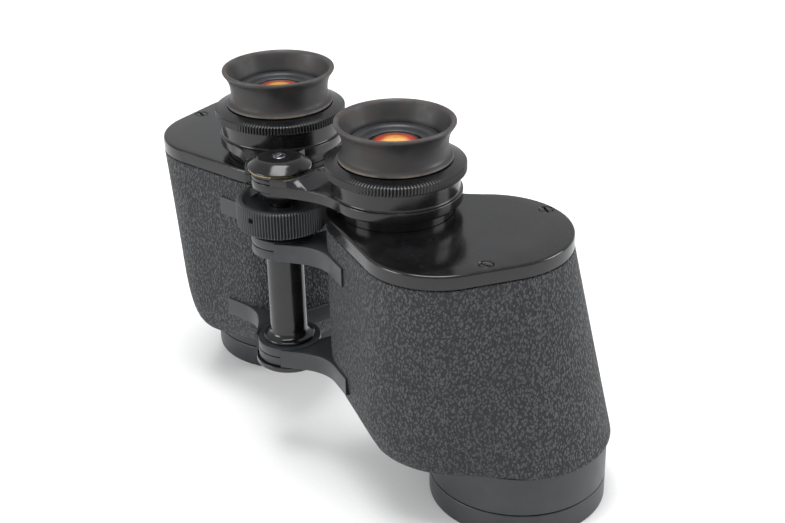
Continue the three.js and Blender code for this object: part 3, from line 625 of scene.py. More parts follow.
def wall_heights(low, high, curl_steps=22, straight_steps=34):
    """Heights up the wall: start - (start - low) (sin t)^(2/n) in the curl, then even steps."""
    t = np.linspace(np.pi / 2, 0, curl_steps, endpoint=False)
    curled = ROUNDING_START - (ROUNDING_START - low) * np.sin(t) ** (2 / CORNER_POWER)
    return np.concatenate([curled, np.linspace(ROUNDING_START, high, straight_steps)])


def wall_rows(low, high, inset):
    """Rings of the wall from low to high, all with one inset, but softened at the lower edge."""
    heights = wall_heights(low, high)
    softened = EDGE_INSET * np.clip(1 - (heights - low) / 1.2, 0, 1) ** 2
    return [body_ring(height, inset + soft) for height, soft in zip(heights, softened)]


outside = wall_rows(leather_bottom, leather_top - 0.5, 0.0)
top_edge = [body_ring(leather_top - 0.15, 0.12), body_ring(leather_top, 0.45)]
behind = wall_rows(leather_bottom, leather_top, LEATHER_THICK)[::-1]
covering_shell = ring_shell([*outside, *top_edge, *behind])
for half, side in (("left", 1), ("right", -1)):
    make_piece(
        f"{half}_leather_wrap", [covering_shell], leather, f"{half}_half",
        [f"{half}_covering"], side, crease=60,
    )

# %% [markdown]
# ## The casting behind the leatherette
#
# The housing's wall follows the covering, and its floor has a round hole. Such a floor could
# be cut with a boolean, but rows that run from the outline to the hole need no cut at all.

# %% Rings that end at a round hole
def hole_row(outer_row, centre, radius, height):
    """Points on a round hole, each on the line from its centre to a point of an outer row."""
    away = outer_row[:, :2] - centre
    away /= np.linalg.norm(away, axis=1, keepdims=True)
    return np.column_stack([centre + radius * away, np.full(len(away), float(height))])


CASTING_INSET = 1.3
CASTING_WALL = 2.6
FLOOR_THICK = 5.7
_, neck_radius, *_ = round_node("left_objective_cell")
casting_floor = leather_bottom + GAP


def blended_rows(outer_row, inner_row, steps):
    """Rows between two rows: a flat face divided into steps, without its two ends."""
    return [outer_row + (inner_row - outer_row) * k / steps for k in range(1, steps)]


foot_row = body_ring(casting_floor, CASTING_INSET + EDGE_INSET)
foot_hole = hole_row(foot_row, objective, neck_radius - 2.6, casting_floor)
inner_foot = body_ring(casting_floor + FLOOR_THICK, CASTING_INSET + CASTING_WALL)
inner_hole = hole_row(inner_foot, objective, neck_radius - 2.6, casting_floor + FLOOR_THICK)
casting_shell = ring_shell([
    foot_hole,
    *blended_rows(foot_hole, foot_row, 3),
    *wall_rows(casting_floor, leather_top, CASTING_INSET),
    *wall_rows(casting_floor + FLOOR_THICK, leather_top, CASTING_INSET + CASTING_WALL)[::-1],
    inner_hole,
])
print("the covering has", len(covering_shell[1]), "faces a side")

# %% [markdown]
# ## The hinge arms
#
# Each casting reaches to the hinge with two arms. From above, an arm starts as part of a round
# boss and sweeps out along a concave curve until it lies on the body. The two halves share
# each boss in layers, one knuckle above the other, like a door hinge. An arm could be cut
# out with booleans, but an outline carried up with softly rounded edges gives cleaner edges.

# %% Plates with rounded edges
BOSS_RADIUS = 12.3
KNUCKLE_RADIUS = 11.3
ARM_FROM = -50.0  # the boss's front corner, in degrees
ARM_TO = 38.0
EDGE_ROUNDING = 0.35


def curve(p0, p1, p2, p3, steps=36):
    """A cubic Bézier curve: (1-t)³p0 + 3(1-t)²t p1 + 3(1-t)t² p2 + t³p3."""
    t = np.linspace(0, 1, steps)[:, None]
    return (1 - t) ** 3 * p0 + 3 * (1 - t) ** 2 * t * p1 + 3 * (1 - t) * t**2 * p2 + t**3 * p3


def polar(radius, degrees):
    """The point at a radius and an angle from the hinge axis."""
    angle = np.radians(degrees)
    return radius * np.stack([np.cos(angle), np.sin(angle)], -1)


def at_height(outline, height):
    """A flat outline lifted to a height."""
    return np.column_stack([outline, np.full(len(outline), float(height))])


def plate(outline, bottom, top, rounding=EDGE_ROUNDING, steps=4):
    """A block with quarter-circle edges: inset r (1 - sin a) at height r (1 - cos a)."""
    a = np.linspace(0, np.pi / 2, steps + 1)
    inset = rounding * (1 - np.sin(a))
    lift = rounding * (1 - np.cos(a))
    low = [at_height(inward(outline, i), bottom + h) for i, h in zip(inset, lift)]
    high = [at_height(inward(outline, i), top - h) for i, h in zip(inset, lift)]
    return capped_shell(low + high[::-1])


def ring_plate(outer, hole_radius, bottom, top, rounding=0.25):
    """A plate about the hinge axis with a round hole, its outer edges rounded."""
    outer_rows = [
        at_height(inward(outer, rounding), bottom),
        at_height(inward(outer, rounding * 0.3), bottom + rounding * 0.3),
        at_height(outer, bottom + rounding),
        at_height(outer, top - rounding),
        at_height(inward(outer, rounding * 0.3), top - rounding * 0.3),
        at_height(inward(outer, rounding), top),
    ]
    origin = np.zeros(2)
    hole_rows = [hole_row(outer_rows[0], origin, hole_radius, h) for h in (top, bottom)]
    return ring_shell([*outer_rows, *hole_rows])


# %% [markdown]
# ## Arms and knuckles of the castings
#
# An arm's outline starts at its own side of the boss and ends inside the body, so that no gap
# can show. Its upper and lower layers could be one solid, but only one of them belongs to each
# half: the other half's knuckle turns in the room that is left.

# %% Body arms and knuckles
ARM_PROUD = 0.8  # how far an arm's end stands out of the leatherette
ARM_REACH_X = 29.0
ARM_END_X = 38.0
HINGE_TUBE_HOLE = 6.9
LOWER_LUG = (40.2, 47.0)
UPPER_LUG = (82.2, 89.0)


def body_front(x):
    """The y of the front of the body's top outline at x."""
    front = top_outline[top_outline[:, 1] < body_middle[1]]
    order = np.argsort(front[:, 0])
    return float(np.interp(x, front[order, 0], front[order, 1]))


def arm_outline(boss_radius, knuckle_radius, anchor, slope, inside):
    """An arm from above: round the knuckle's room, out along the concave front, and back."""
    start = polar(boss_radius, ARM_FROM)
    arriving = 9 * np.array([1, slope]) / math.hypot(1, slope)
    front = curve(start, start + polar(9, 40), anchor - arriving, anchor)
    room = polar(knuckle_radius + GAP, np.linspace(ARM_TO, ARM_FROM, 30))
    return np.concatenate([room, front, inside, [polar(boss_radius, ARM_TO)]])


def knuckle_outline(knuckle_radius, boss_radius):
    """A round knuckle that widens into its own arm's sector, so that the two are one piece."""
    degrees = np.linspace(-180, 180, 180, endpoint=False)
    own = (degrees > ARM_FROM + 1) & (degrees < ARM_TO - 1)
    return polar(np.where(own, boss_radius, knuckle_radius)[:, None], degrees[:, None])[:, 0]


anchor = np.array([ARM_REACH_X, body_front(ARM_REACH_X) - ARM_PROUD])
arm_end = np.array([ARM_END_X, body_front(ARM_END_X) - ARM_PROUD])
back_end = eye + polar(lobe_radius + ARM_PROUD, 176)
back_start = polar(BOSS_RADIUS, ARM_TO)
back_edge = curve(back_end, back_end - (0, 5), back_start + polar(5, 75), back_start, 24)
inside_body = np.array([arm_end, arm_end + (0, 6), eye + (-8, -8), (eye[0] - 10, back_end[1])])
inside_body = np.concatenate([inside_body, back_edge[:-1]])
body_arm = arm_outline(BOSS_RADIUS, KNUCKLE_RADIUS, anchor, -0.23, inside_body)
knuckle = knuckle_outline(KNUCKLE_RADIUS, BOSS_RADIUS - 0.15)


def knuckle_layers(lug):
    """The heights of the left half's knuckle, which is the lower, and of the right half's."""
    split = (lug[0] + lug[1]) / 2
    return {"left": (lug[0], split - GAP / 2), "right": (split + GAP / 2, lug[1])}


for half, side in (("left", 1), ("right", -1)):
    shells = [casting_shell]
    for lug in (LOWER_LUG, UPPER_LUG):
        shells.append(plate(body_arm, *lug))
        shells.append(ring_plate(knuckle, HINGE_TUBE_HOLE, *knuckle_layers(lug)[half]))
    make_piece(
        f"{half}_casting", shells, satin_enamel, f"{half}_half",
        [f"{half}_housing"], side,
    )

# %% [markdown]
# ## The covers and their screws
#
# A cast plate closes the top of each half over the prisms. Its edge is rounded, its enamel is
# polished, and two slotted screws sit in countersunk holes. The plate is a ring from its
# edge in to the eyepiece hole, so its flat face needs no hidden cuts, and only the screw
# holes are cut by a boolean that is applied at once.

# %% Cover plates
COVER_EDGE = 0.9
CUT_EDGE = 0.25  # the small bevel under the cover
SCREW_HOLE_RADIUS = 2.5
SCREW_HEAD_RADIUS = 2.2
screw_places = [np.array([-3.9, 13.9]) + objective, np.array([14.0, -27.9]) + objective]


def cover_shell():
    """Up the edge, round a quarter circle, across the top to the eyepiece hole, down it and back."""
    a = np.linspace(0, np.pi / 2, 7)
    edge = [
        body_ring(cover_bottom, COVER_EDGE * (1 - c), cover_top - COVER_EDGE * (1 - s))
        for s, c in zip(np.sin(a), np.cos(a))
    ]
    lower = [
        body_ring(cover_bottom, CUT_EDGE, cover_bottom),
        body_ring(cover_bottom, 0, cover_bottom + CUT_EDGE),
    ]
    hole_radius = guide_radius + GAP
    top_hole = hole_row(edge[-1], eye, hole_radius, cover_top)
    low_hole = hole_row(edge[-1], eye, hole_radius, cover_bottom)
    return ring_shell([*lower, *edge, *blended_rows(edge[-1], top_hole, 4), top_hole, low_hole])


def cut_holes(piece, cutters):
    """Cuts closed shapes out of a piece with exact booleans, and keeps only the result."""
    for cutter in cutters:
        cut = piece.modifiers.new("cut", "BOOLEAN")
        cut.operation, cut.solver, cut.object = "DIFFERENCE", "EXACT", cutter
    view = bpy.context.evaluated_depsgraph_get()
    result = bpy.data.meshes.new_from_object(piece.evaluated_get(view))
    piece.modifiers.clear()
    piece.data = result
    for cutter in cutters:
        bpy.data.objects.remove(cutter)


def cutter(shell, side=1):
    """A shape that is only there to be cut out of a piece."""
    shape = bpy.data.objects.new("cutter", shell_mesh("cutter", [shell], side))
    bpy.context.collection.objects.link(shape)
    return shape


def countersink(place, surface):
    """The dished hole of a screw: a round pocket with a bevelled mouth."""
    r = SCREW_HOLE_RADIUS
    profile = [(0, surface - 1.6), (r - 0.2, surface - 1.6), (r - 0.2, surface - 0.35),
               (r + 0.3, surface + 0.2), (r + 0.3, surface + 1), (0, surface + 1)]
    return turned(profile, place, 48)


def screw_shells(place, surface, radius, slot_angle):
    """A slotted head as two half discs on a shank: the slot is the gap between them."""
    angle = np.radians(np.linspace(-82, 82, 25))
    half = radius * np.stack([np.cos(angle), np.sin(angle)], -1)
    half = np.concatenate([half, [[0.3, radius * 0.95], [0.3, -radius * 0.95]]])
    turn = np.radians(slot_angle)
    shells = []
    for flip in (0.0, np.pi):
        c, s = math.cos(turn + flip), math.sin(turn + flip)
        outline = half @ np.array([[c, s], [-s, c]]) + place
        shells.append(plate(outline, surface - 1.0, surface - 0.15, 0.18, 3))
    low, high, shank = surface - 1.5, surface - 0.75, radius - 0.05
    base = [(0, low), (shank, low), (shank, high), (0, high)]
    return [*shells, turned(base, place, 48)]


covering_top = cover_shell()
for half, side in (("left", 1), ("right", -1)):
    cover = make_piece(
        f"{half}_cover_plate", [covering_top], gloss_enamel, f"{half}_half",
        [f"{half}_cover"], side,
    )
    cut_holes(cover, [cutter(countersink(place, cover_top), side) for place in screw_places])
    for number, place in enumerate(screw_places, 1):
        make_piece(
            f"{half}_slotted_screw_{number}",
            screw_shells(place, cover_top, SCREW_HEAD_RADIUS, 25 + 40 * number),
            gloss_enamel, f"{half}_half", [f"{half}_cover_screw_{number}"], side,
        )

# %% [markdown]
# ## The objectives
#
# Each barrel is turned from tube: a long smooth collar that screws into the casting, and a
# shorter bezel that holds the lens, with a bright line of a groove between them. Turned work
# is a profile carried round an axis, with each corner rounded as a file would leave it.

# %% Objective barrels, bezels and lenses
BARREL_WALL = 2.2
NECK = 25.5
barrel_inner = barrel_radius - BARREL_WALL
_, cell_radius, cell_bottom, cell_top = round_node("left_objective_cell")
_, _, ring_bottom, ring_top = round_node("left_objective_lock_ring")
_, glass_radius, _, _ = round_node("left_objective_front_lens")
barrel_top = leather_bottom - GAP
bezel_profile = rounded(
    [
        (barrel_inner, 0), (barrel_radius - 0.15, 0), (barrel_radius, 0.6),
        (barrel_radius, bezel_top - 0.1), (barrel_inner + 0.5, bezel_top),
        (barrel_inner, 6.4), (barrel_inner - 1.2, 5), (barrel_inner - 1.2, 1.5),
    ],
    [0.2, 0.4, 0.4, 0.5, 0.2, 0.3, 0.3, 0.3],
)
barrel_profile = rounded(
    [
        (barrel_inner, barrel_bottom), (barrel_radius - 0.1, barrel_bottom),
        (barrel_radius, barrel_bottom + 0.6), (barrel_radius, barrel_top), (NECK, barrel_top),
        (NECK, neck_top), (NECK - 2, neck_top), (NECK - 2, 22.5), (barrel_inner, 22.5),
    ],
    [0.2, 0.45, 0.3, 0.4, 0.2, 0.3, 0.3, 0.3, 0.3],
)
lock_profile = rounded(
    [
        (glass_radius - 0.6, ring_bottom + 0.8), (glass_radius + 0.4, ring_bottom),
        (cell_radius, ring_bottom), (cell_radius, ring_top), (glass_radius - 0.6, ring_top),
    ],
    0.25,
)
baffle_heights = np.arange(cell_bottom, cell_top - 2, 0.5)
cell_profile = np.concatenate([
    [(cell_radius, cell_bottom), (cell_radius, cell_top), (glass_radius - 1, cell_top),
     (glass_radius - 1, cell_top - 1.8), (glass_radius + GAP, cell_top - 1.8)],
    np.stack([np.full_like(baffle_heights, glass_radius + GAP), baffle_heights[::-1]], -1),
])


def lens_profile(radius, below, above, steps=14):
    """Two domed faces: the height at radius r is centre + (edge - centre)(r / radius)²."""
    share = np.linspace(0, 1, steps)
    faces = [
        np.stack([radius * share, centre + (edge - centre) * share**2], -1)
        for centre, edge in (below, above)
    ]
    return np.concatenate([faces[0], faces[1][::-1]])


hinge_y = float(hinge[1]) * MILLIMETRES
objective_glass = {}
eye_glass = {}
for half, side in (("left", 1), ("right", -1)):
    on_floor = (side * objective[0], objective[1] + hinge_y)
    # painted reflection: the purple tints stand for the coating's reflected colour
    objective_glass[half] = coated_glass(
        f"{half}_objective_painted_reflection", on_floor, glass_radius, "1c1a26", "2c1f3a", "3a2c5a"
    )
    turned_pieces = (
        ("bezel", bezel_profile, satin_enamel, "black_satin", "objective_bezel"),
        ("barrel_tube", barrel_profile, satin_enamel, "black_satin", "objective_barrel"),
        ("lock_ring", lock_profile, inside_black, "black_inside", "objective_lock_ring"),
        ("lens_cell", cell_profile, inside_black, "black_inside", "objective_cell"),
        ("front_glass", lens_profile(glass_radius, (7, 10), (15.4, 14)),
         objective_glass[half], "coated_glass", "objective_front_lens"),
    )
    for name, profile, finish, slot, node in turned_pieces:
        shell = turned(profile, objective, 224 if finish is satin_enamel else 128)
        make_piece(f"{half}_{name}", [shell], finish, f"{half}_half", [f"{half}_{node}"], side)

# %% [markdown]
# ## The eyepieces
#
# A fixed guide tube rises from each cover, and a sleeve on the bridge arm slides over it. On
# top sit the knurled collar, the rubber eyecup and the lens in its black cell. The knurl is
# real geometry: the radius dips in many even grooves, as a knurling wheel presses them.

# %% Knurling
COLLAR_TEETH = 132
POINTS_PER_TOOTH = 8
COLLAR_GROOVE = 0.4


def knurl(teeth, depth, land_low, land_high, fade):
    """Straight grooves: at angle a the radius drops by depth (1/2 - cos(teeth a) / 2)^1.6.

    The power leaves wide lands. The grooves lie between two heights and fade out beyond them.
    """

    def change(angle, profile):
        height = profile[:, 1][None, :]
        inside = np.minimum(height - land_low, land_high - height)
        strength = np.clip(1 + inside / fade, 0, 1) * (profile[:, 0] > profile[:, 0].max() - 1.2)
        return -depth * strength * (0.5 - 0.5 * np.cos(teeth * angle)) ** 1.6

    return change


def land(radius, low, high, rows=8):
    """Evenly spaced points up a straight side, so that grooves and holes have something to bend."""
    heights = np.linspace(low, high, rows)
    return [(radius, h) for h in heights]


# %% [markdown]
# ## Profiles of an eyepiece
#
# Every metal piece of an eyepiece is turned, so each is one list of radii and heights. They
# could be modelled one by one, but sharing the measured sizes makes them fit one another.

# %% Turned profiles of an eyepiece
_, ring_reach = measured("left_eyepiece_arm")
ARM_THICK = 3.9
SLEEVE_RADIUS = 21.4
SLEEVE_STEP = 1.8
sleeve_inner = guide_radius + GAP
arm_ring_radius = (ring_reach[1] - eye[1])
arm_top = arm_bottom + ARM_THICK
guide_profile = rounded(
    [
        (tube_radius + GAP, guide_bottom), (guide_radius, guide_bottom),
        (guide_radius, guide_top), (tube_radius + GAP, guide_top),
    ],
    0.4,
)
sleeve_profile = rounded(
    [
        (sleeve_inner, arm_bottom), (arm_ring_radius, arm_bottom), (arm_ring_radius, arm_top - 0.15),
        (SLEEVE_RADIUS + 0.25, arm_top), (SLEEVE_RADIUS, arm_top + 0.4), (SLEEVE_RADIUS, sleeve_top),
        (tube_radius + GAP, sleeve_top), (tube_radius + GAP, sleeve_top - SLEEVE_STEP),
        (sleeve_inner, sleeve_top - SLEEVE_STEP),
    ],
    [0.3, 0.8, 0.35, 0.2, 0.5, 0.3, 0.3, 0.3, 0.3],
)
collar_roof = collar_top - 2.1
knurl_top = collar_top - 1.35
collar_profile = np.concatenate([
    rounded(
        [
            (SLEEVE_RADIUS + GAP, collar_bottom), (collar_radius - 0.35, collar_bottom),
            (collar_radius, collar_bottom + 0.35),
        ],
        0.2, closed=False,
    ),
    land(collar_radius, collar_bottom + 0.5, knurl_top),
    rounded(
        [
            (collar_radius - 0.35, knurl_top + 0.25), (collar_radius - 3.9, collar_top),
            (bezel_radius + 0.4, collar_top), (bezel_radius + 0.4, collar_roof),
            (SLEEVE_RADIUS + GAP, collar_roof),
        ],
        0.35, closed=False,
    ),
])
tube_profile = rounded(
    [
        (bezel_radius - 0.2, tube_bottom), (tube_radius, tube_bottom),
        (tube_radius, collar_roof - GAP), (bezel_radius + 0.1, collar_roof - GAP),
        (bezel_radius + 0.1, neck_rim), (eye_lens_radius + GAP, neck_rim),
        (eye_lens_radius + GAP, neck_rim - 1.9), (bezel_radius - 1.4, neck_rim - 4.3),
        (bezel_radius - 1.4, tube_bottom + 8.7), (bezel_radius - 0.2, tube_bottom + 7.7),
    ],
    0.3,
)
eye_bezel_profile = rounded(
    [
        (eye_lens_radius + 0.7, bezel_bottom), (bezel_radius, bezel_bottom), (bezel_radius, bezel_face),
        (bezel_radius - 2.0, bezel_face), (bezel_radius - 2.9, bezel_face - 0.55),
        (eye_lens_radius + 1.6, bezel_face - 0.55), (eye_lens_radius + 0.9, bezel_face - 0.8),
    ],
    0.3,
)
print("knurl pitch of a collar:", round(2 * math.pi * collar_radius / COLLAR_TEETH, 2), "mm")

# %% Eyecup profile
CUP_WAIST = 17.5
bezel_edge = bezel_radius + 0.4
cup_outside = [
    (bezel_edge, cup_base), (CUP_WAIST + 1.9, cup_base), (CUP_WAIST + 1.5, cup_base + 0.8),
    (CUP_WAIST + 0.3, cup_base + 1.9), (CUP_WAIST, cup_base + 4.4), (CUP_WAIST + 0.35, cup_base + 7.6),
    (CUP_WAIST + 1.2, cup_base + 9.9), (cup_rim - 0.5, cup_top - 1.7), (cup_rim, cup_top - 0.8),
]
cup_lip = [(cup_rim - 0.25, cup_top - 0.1), (cup_rim - 1.0, cup_top), (cup_rim - 1.7, cup_top - 0.5)]
cup_inside = [
    (cup_rim - 2.4, cup_top - 1.8), (CUP_WAIST - 0.9, cup_top - 4.6), (bezel_edge, bezel_face + 0.2),
]
cup_profile = rounded(cup_outside + cup_lip + cup_inside, 1.4, steps=5)
cup_rubber = browned_rubber(cup_base, cup_top)
print("the eyecup's profile has", len(cup_profile), "points")

# %% Make the eyepieces
for half, side in (("left", 1), ("right", -1)):
    on_floor = (side * eye[0], eye[1] + hinge_y)
    # painted light: the yellow middle and red edge stand for the coating's reflection and the pupil
    # seen through the lens
    eye_glass[half] = coated_glass(
        f"{half}_amber_painted_light", on_floor, eye_lens_radius, "e0a030", "c23a14", "2a0f0c"
    )
    tube_body = "left_bridge" if half == "left" else "right_eyepiece"
    ring_body = "left_bridge" if half == "left" else "right_dioptre_ring"
    grooves = knurl(COLLAR_TEETH, COLLAR_GROOVE, collar_bottom + 0.35, knurl_top, 0.35)
    crown = (lens_crown, lens_crown - 1)
    eye_profile = lens_profile(eye_lens_radius, (lens_bottom, lens_bottom), crown)
    eyepiece_pieces = (
        ("guide_tube", guide_profile, gloss_enamel, f"{half}_half", "black_gloss",
         "eyepiece_guide", 224, None),
        ("sliding_tube", tube_profile, inside_black, tube_body, "black_inside", "lens_tube", 160, None),
        ("grip_collar", collar_profile, bridge_enamel, ring_body, "black_satin", "knurled_collar",
         COLLAR_TEETH * POINTS_PER_TOOTH, grooves),
        ("rubber_cup", cup_profile, cup_rubber, ring_body, "rubber", "eyecup", 224, None),
        ("lens_bezel", eye_bezel_profile, satin_enamel, ring_body, "black_inside",
         "eye_bezel", 160, None),
        ("eye_glass", eye_profile, eye_glass[half], tube_body, "coated_glass", "eye_lens", 128, None),
    )
    for name, profile, finish, body, slot, node, steps, change in eyepiece_pieces:
        shell = turned(profile, eye, steps, change)
        make_piece(f"{half}_{name}", [shell], finish, body, [f"{half}_{node}"], side)

# %% [markdown]
# ## The bridge that moves the eyepieces
#
# Two thin arms join the sleeves to the focusing spindle, their ends interleaved in layers
# so that the halves can fold. Near the spindle each arm steps up to the full height of the
# boss over a gentle ramp. It could be one sculpted form, but the arm is simply a flat plate,
# the ramp a sector swept round the hinge axis, and the sleeve is turned about the eyepiece:
# three closed shells of one piece.

# %% Bridge arms
BRIDGE_BOSS = 12.0
BRIDGE_HUB = 9.9
RAMP = 7.0  # how far outside the boss the arm begins to rise
LAYER_SPLITS = (109.55, 111.15)
SPINDLE_HOLE = 4.2
hub_top = round_node("focus_spindle")[3]
bridge_anchor = eye + arm_ring_radius * polar(1, -96)
bridge_back = eye + arm_ring_radius * polar(1, 192)
bridge_inside = np.array([eye + (0, -20.5), eye + (-20.5, -2), bridge_back])
bridge_outline = arm_outline(BRIDGE_BOSS, BRIDGE_HUB, bridge_anchor, -0.1, bridge_inside)


def shoulder_shell():
    """The step up to the boss, as one section for each angle of the arm's sector.

    A section runs from the hub's room out to the ramp's foot, up the ramp and over the top.
    """
    degrees = np.linspace(ARM_FROM, ARM_TO, 50)
    front = bridge_outline[30:66]
    front_angle = np.degrees(np.arctan2(front[:, 1], front[:, 0]))
    front_reach = np.linalg.norm(front, axis=1)
    order = np.argsort(front_angle)
    limit = np.interp(degrees, front_angle[order], front_reach[order], right=1e3)
    foot = np.minimum(limit, BRIDGE_BOSS + RAMP)
    crest = np.minimum(limit, BRIDGE_BOSS + 1.2)
    room = np.full_like(degrees, BRIDGE_HUB + GAP)
    rise = hub_top - arm_top - 0.22
    ramp = [
        (foot + (crest - foot) * t, arm_top + 0.02 + rise * (0.85 * t + 0.15 * t**2))
        for t in np.linspace(0, 1, 9)
    ]
    rim = [(crest - 0.12, hub_top - 0.05), (crest - 0.35, hub_top)]
    section = [(room, arm_top - 0.8), (foot - 0.2, arm_top - 0.8), *ramp, *rim, (room, hub_top)]
    aim = polar(1.0, degrees)
    rows = np.stack(
        [np.column_stack([r[:, None] * aim, np.full_like(r, h)]) for r, h in section], 1
    )
    return capped_shell(rows)


low_split, high_split = LAYER_SPLITS
hub_layers = {
    "left": [(low_split + GAP / 2, high_split - GAP / 2)],
    "right": [(arm_bottom, low_split - GAP / 2), (high_split + GAP / 2, hub_top)],
}
hub_outline = knuckle_outline(BRIDGE_HUB, BRIDGE_BOSS - 0.2)
for half, side in (("left", 1), ("right", -1)):
    shells = [
        plate(bridge_outline, arm_bottom, arm_top, 0.3),
        shoulder_shell(),
        turned(sleeve_profile, eye, 224),
        *(ring_plate(hub_outline, SPINDLE_HOLE, low, high, 0.15) for low, high in hub_layers[half]),
    ]
    make_piece(
        f"{half}_bridge_arm", shells, bridge_enamel, f"{half}_bridge",
        [f"{half}_eyepiece_arm"], side,
    )

# %% [markdown]
# ## The hinge and the focusing wheel
#
# The halves turn on one tube. Above it sit a washer, the focusing wheel with its coarse
# grooves and hollow top, the spindle that it drives, and a domed cap with a slotted screw.
# The hole for the wheel's set screw is a dip in the same radius formula as the grooves.

# %% Wheel
WHEEL_TEETH = 91
WHEEL_GROOVE = 0.55
WHEEL_BORE = 4.2
WHEEL_POINTS = 8
SET_SCREW_ANGLE = math.radians(-76.7)
SET_SCREW_RADIUS = 1.0
set_screw_low, set_screw_high = measured("wheel_set_screw")
set_screw_height = (set_screw_low[2] + set_screw_high[2]) / 2
wheel_grooves = knurl(WHEEL_TEETH, WHEEL_GROOVE, wheel_bottom + 0.7, wheel_top - 0.75, 0.5)


def wheel_radius_change(angle, profile):
    """The grooves, and a round dip where the distance from the set screw is under its radius."""
    along = wheel_radius * np.angle(np.exp(1j * (angle - SET_SCREW_ANGLE)))
    distance = np.hypot(along, profile[:, 1][None, :] - set_screw_height)
    on_rim = profile[:, 0][None, :] > wheel_radius - 0.1
    in_hole = (distance < SET_SCREW_RADIUS) & on_rim
    return np.where(in_hole, -1.6, wheel_grooves(angle, profile))


wheel_dish = wheel_top - 2.6
wheel_profile = np.concatenate([
    [
        (WHEEL_BORE, wheel_bottom), (wheel_radius - 0.9, wheel_bottom),
        (wheel_radius - 0.35, wheel_bottom + 0.25),
    ],
    land(wheel_radius, wheel_bottom + 0.6, wheel_top - 0.7, 44),
    rounded(
        [
            (wheel_radius - 0.6, wheel_top - 0.1), (wheel_radius - 1.0, wheel_top),
            (wheel_radius - 2.3, wheel_top), (wheel_radius - 3.0, wheel_dish), (WHEEL_BORE, wheel_dish),
        ],
        0.35, closed=False,
    ),
])
make_piece(
    "grooved_wheel",
    [turned(wheel_profile, steps=WHEEL_TEETH * WHEEL_POINTS, change=wheel_radius_change)],
    satin_enamel, "focus_wheel", ["focus_wheel"],
)

# %% [markdown]
# ## The tube, the spindle and the caps
#
# These are plain turned pieces on the hinge axis, stacked from the bottom cap to the slotted
# screw. Primitives could stand in for them, but small roundings on each edge are what catch
# the light, so they are profiles too.

# %% Tube, washer, spindle and caps
_, _, hinge_tube_bottom, hinge_tube_top = round_node("hinge_tube")
TUBE_RADIUS = 6.6
TUBE_BORE = 4.3
SPINDLE_RADIUS = 3.9
FOOT_FLANGE = 9.1
_, washer_radius, washer_bottom, washer_top = round_node("wheel_washer")
_, spindle_collar, spindle_bottom, _ = round_node("focus_spindle")
_, cap_radius, cap_bottom, cap_top = round_node("hinge_cap")
_, bottom_cap_radius, bottom_cap_low, bottom_cap_high = round_node("hinge_bottom_cap")
lug_top = LOWER_LUG[1]
hinge_tube_profile = rounded(
    [
        (TUBE_BORE, hinge_tube_bottom), (TUBE_RADIUS, hinge_tube_bottom), (TUBE_RADIUS, lug_top + GAP),
        (FOOT_FLANGE, lug_top + GAP), (FOOT_FLANGE, lug_top + 1.1), (TUBE_RADIUS + 0.9, lug_top + 1.8),
        (TUBE_RADIUS, lug_top + 2.9), (TUBE_RADIUS, hinge_tube_top), (TUBE_BORE, hinge_tube_top),
    ],
    [0.2, 0.4, 0.1, 0.2, 0.5, 0.8, 1.2, 0.3, 0.2],
)
washer_profile = rounded(
    [
        (TUBE_RADIUS + GAP, washer_bottom), (washer_radius, washer_bottom),
        (washer_radius, washer_top), (TUBE_RADIUS + GAP, washer_top),
    ],
    0.5,
)
spindle_profile = rounded(
    [
        (0, spindle_bottom), (SPINDLE_RADIUS, spindle_bottom), (SPINDLE_RADIUS, wheel_top + 0.5),
        (spindle_collar, wheel_top + 0.5), (spindle_collar, arm_bottom - GAP),
        (SPINDLE_RADIUS, arm_bottom - GAP), (SPINDLE_RADIUS, hub_top), (0, hub_top),
    ],
    0.5, closed=False,
)
cap_profile = rounded(
    [
        (0, cap_bottom), (cap_radius, cap_bottom), (cap_radius, cap_bottom + 0.5),
        (cap_radius - 3.1, cap_top - 0.45), (cap_radius - 4.4, cap_top - 0.12), (2.5, cap_top),
        (2.3, cap_top - 0.4), (2.3, cap_top - 1.7), (0, cap_top - 1.7),
    ],
    [0, 0.2, 0.25, 1.2, 0.8, 0.2, 0.2, 0.1, 0], closed=False,
)
bottom_cap_profile = rounded(
    [
        (0, bottom_cap_low), (bottom_cap_radius - 0.9, bottom_cap_low),
        (bottom_cap_radius, bottom_cap_low + 0.8), (bottom_cap_radius, bottom_cap_high),
        (TUBE_RADIUS + GAP, bottom_cap_high),
        (TUBE_RADIUS + GAP, bottom_cap_high - 1.4), (0, bottom_cap_high - 1.4),
    ],
    0.3, closed=False,
)
seam_profile = rounded(
    [(cap_radius - 3, cap_bottom - 0.28), (cap_radius - 0.1, cap_bottom - 0.28),
     (cap_radius - 0.1, cap_bottom - 0.02), (cap_radius - 3, cap_bottom - 0.02)],
    0.06,
)
for name, profile, finish, body, slot, nodes in (
    ("hinge_tube_turned", hinge_tube_profile, gloss_enamel, "right_half", "black_gloss",
     ["hinge_tube"]),
    ("washer_turned", washer_profile, satin_enamel, "right_half", "black_satin", ["wheel_washer"]),
    ("bottom_cap_turned", bottom_cap_profile, gloss_enamel, "right_half", "black_gloss",
     ["hinge_bottom_cap"]),
    ("spindle_turned", spindle_profile, gloss_enamel, "right_bridge", "black_gloss", ["focus_spindle"]),
    ("domed_cap", cap_profile, gloss_enamel, "right_bridge", "black_gloss", ["hinge_cap"]),
    ("cap_seat_ring", seam_profile, brass, "right_bridge", "bright_steel", []),
):
    make_piece(name, [turned(profile)], finish, body, nodes)
make_piece(
    "cap_slotted_screw", screw_shells(np.zeros(2), cap_top + 0.1, 2.1, 20), steel,
    "right_bridge", ["cap_screw"],
)

# %% [markdown]
# ## Pieces that keep their CAD shape
#
# The prisms, their shelf and straps, the rear objective lens and the field lens are inside,
# and their CAD shapes are right as they are. They only need a finish.

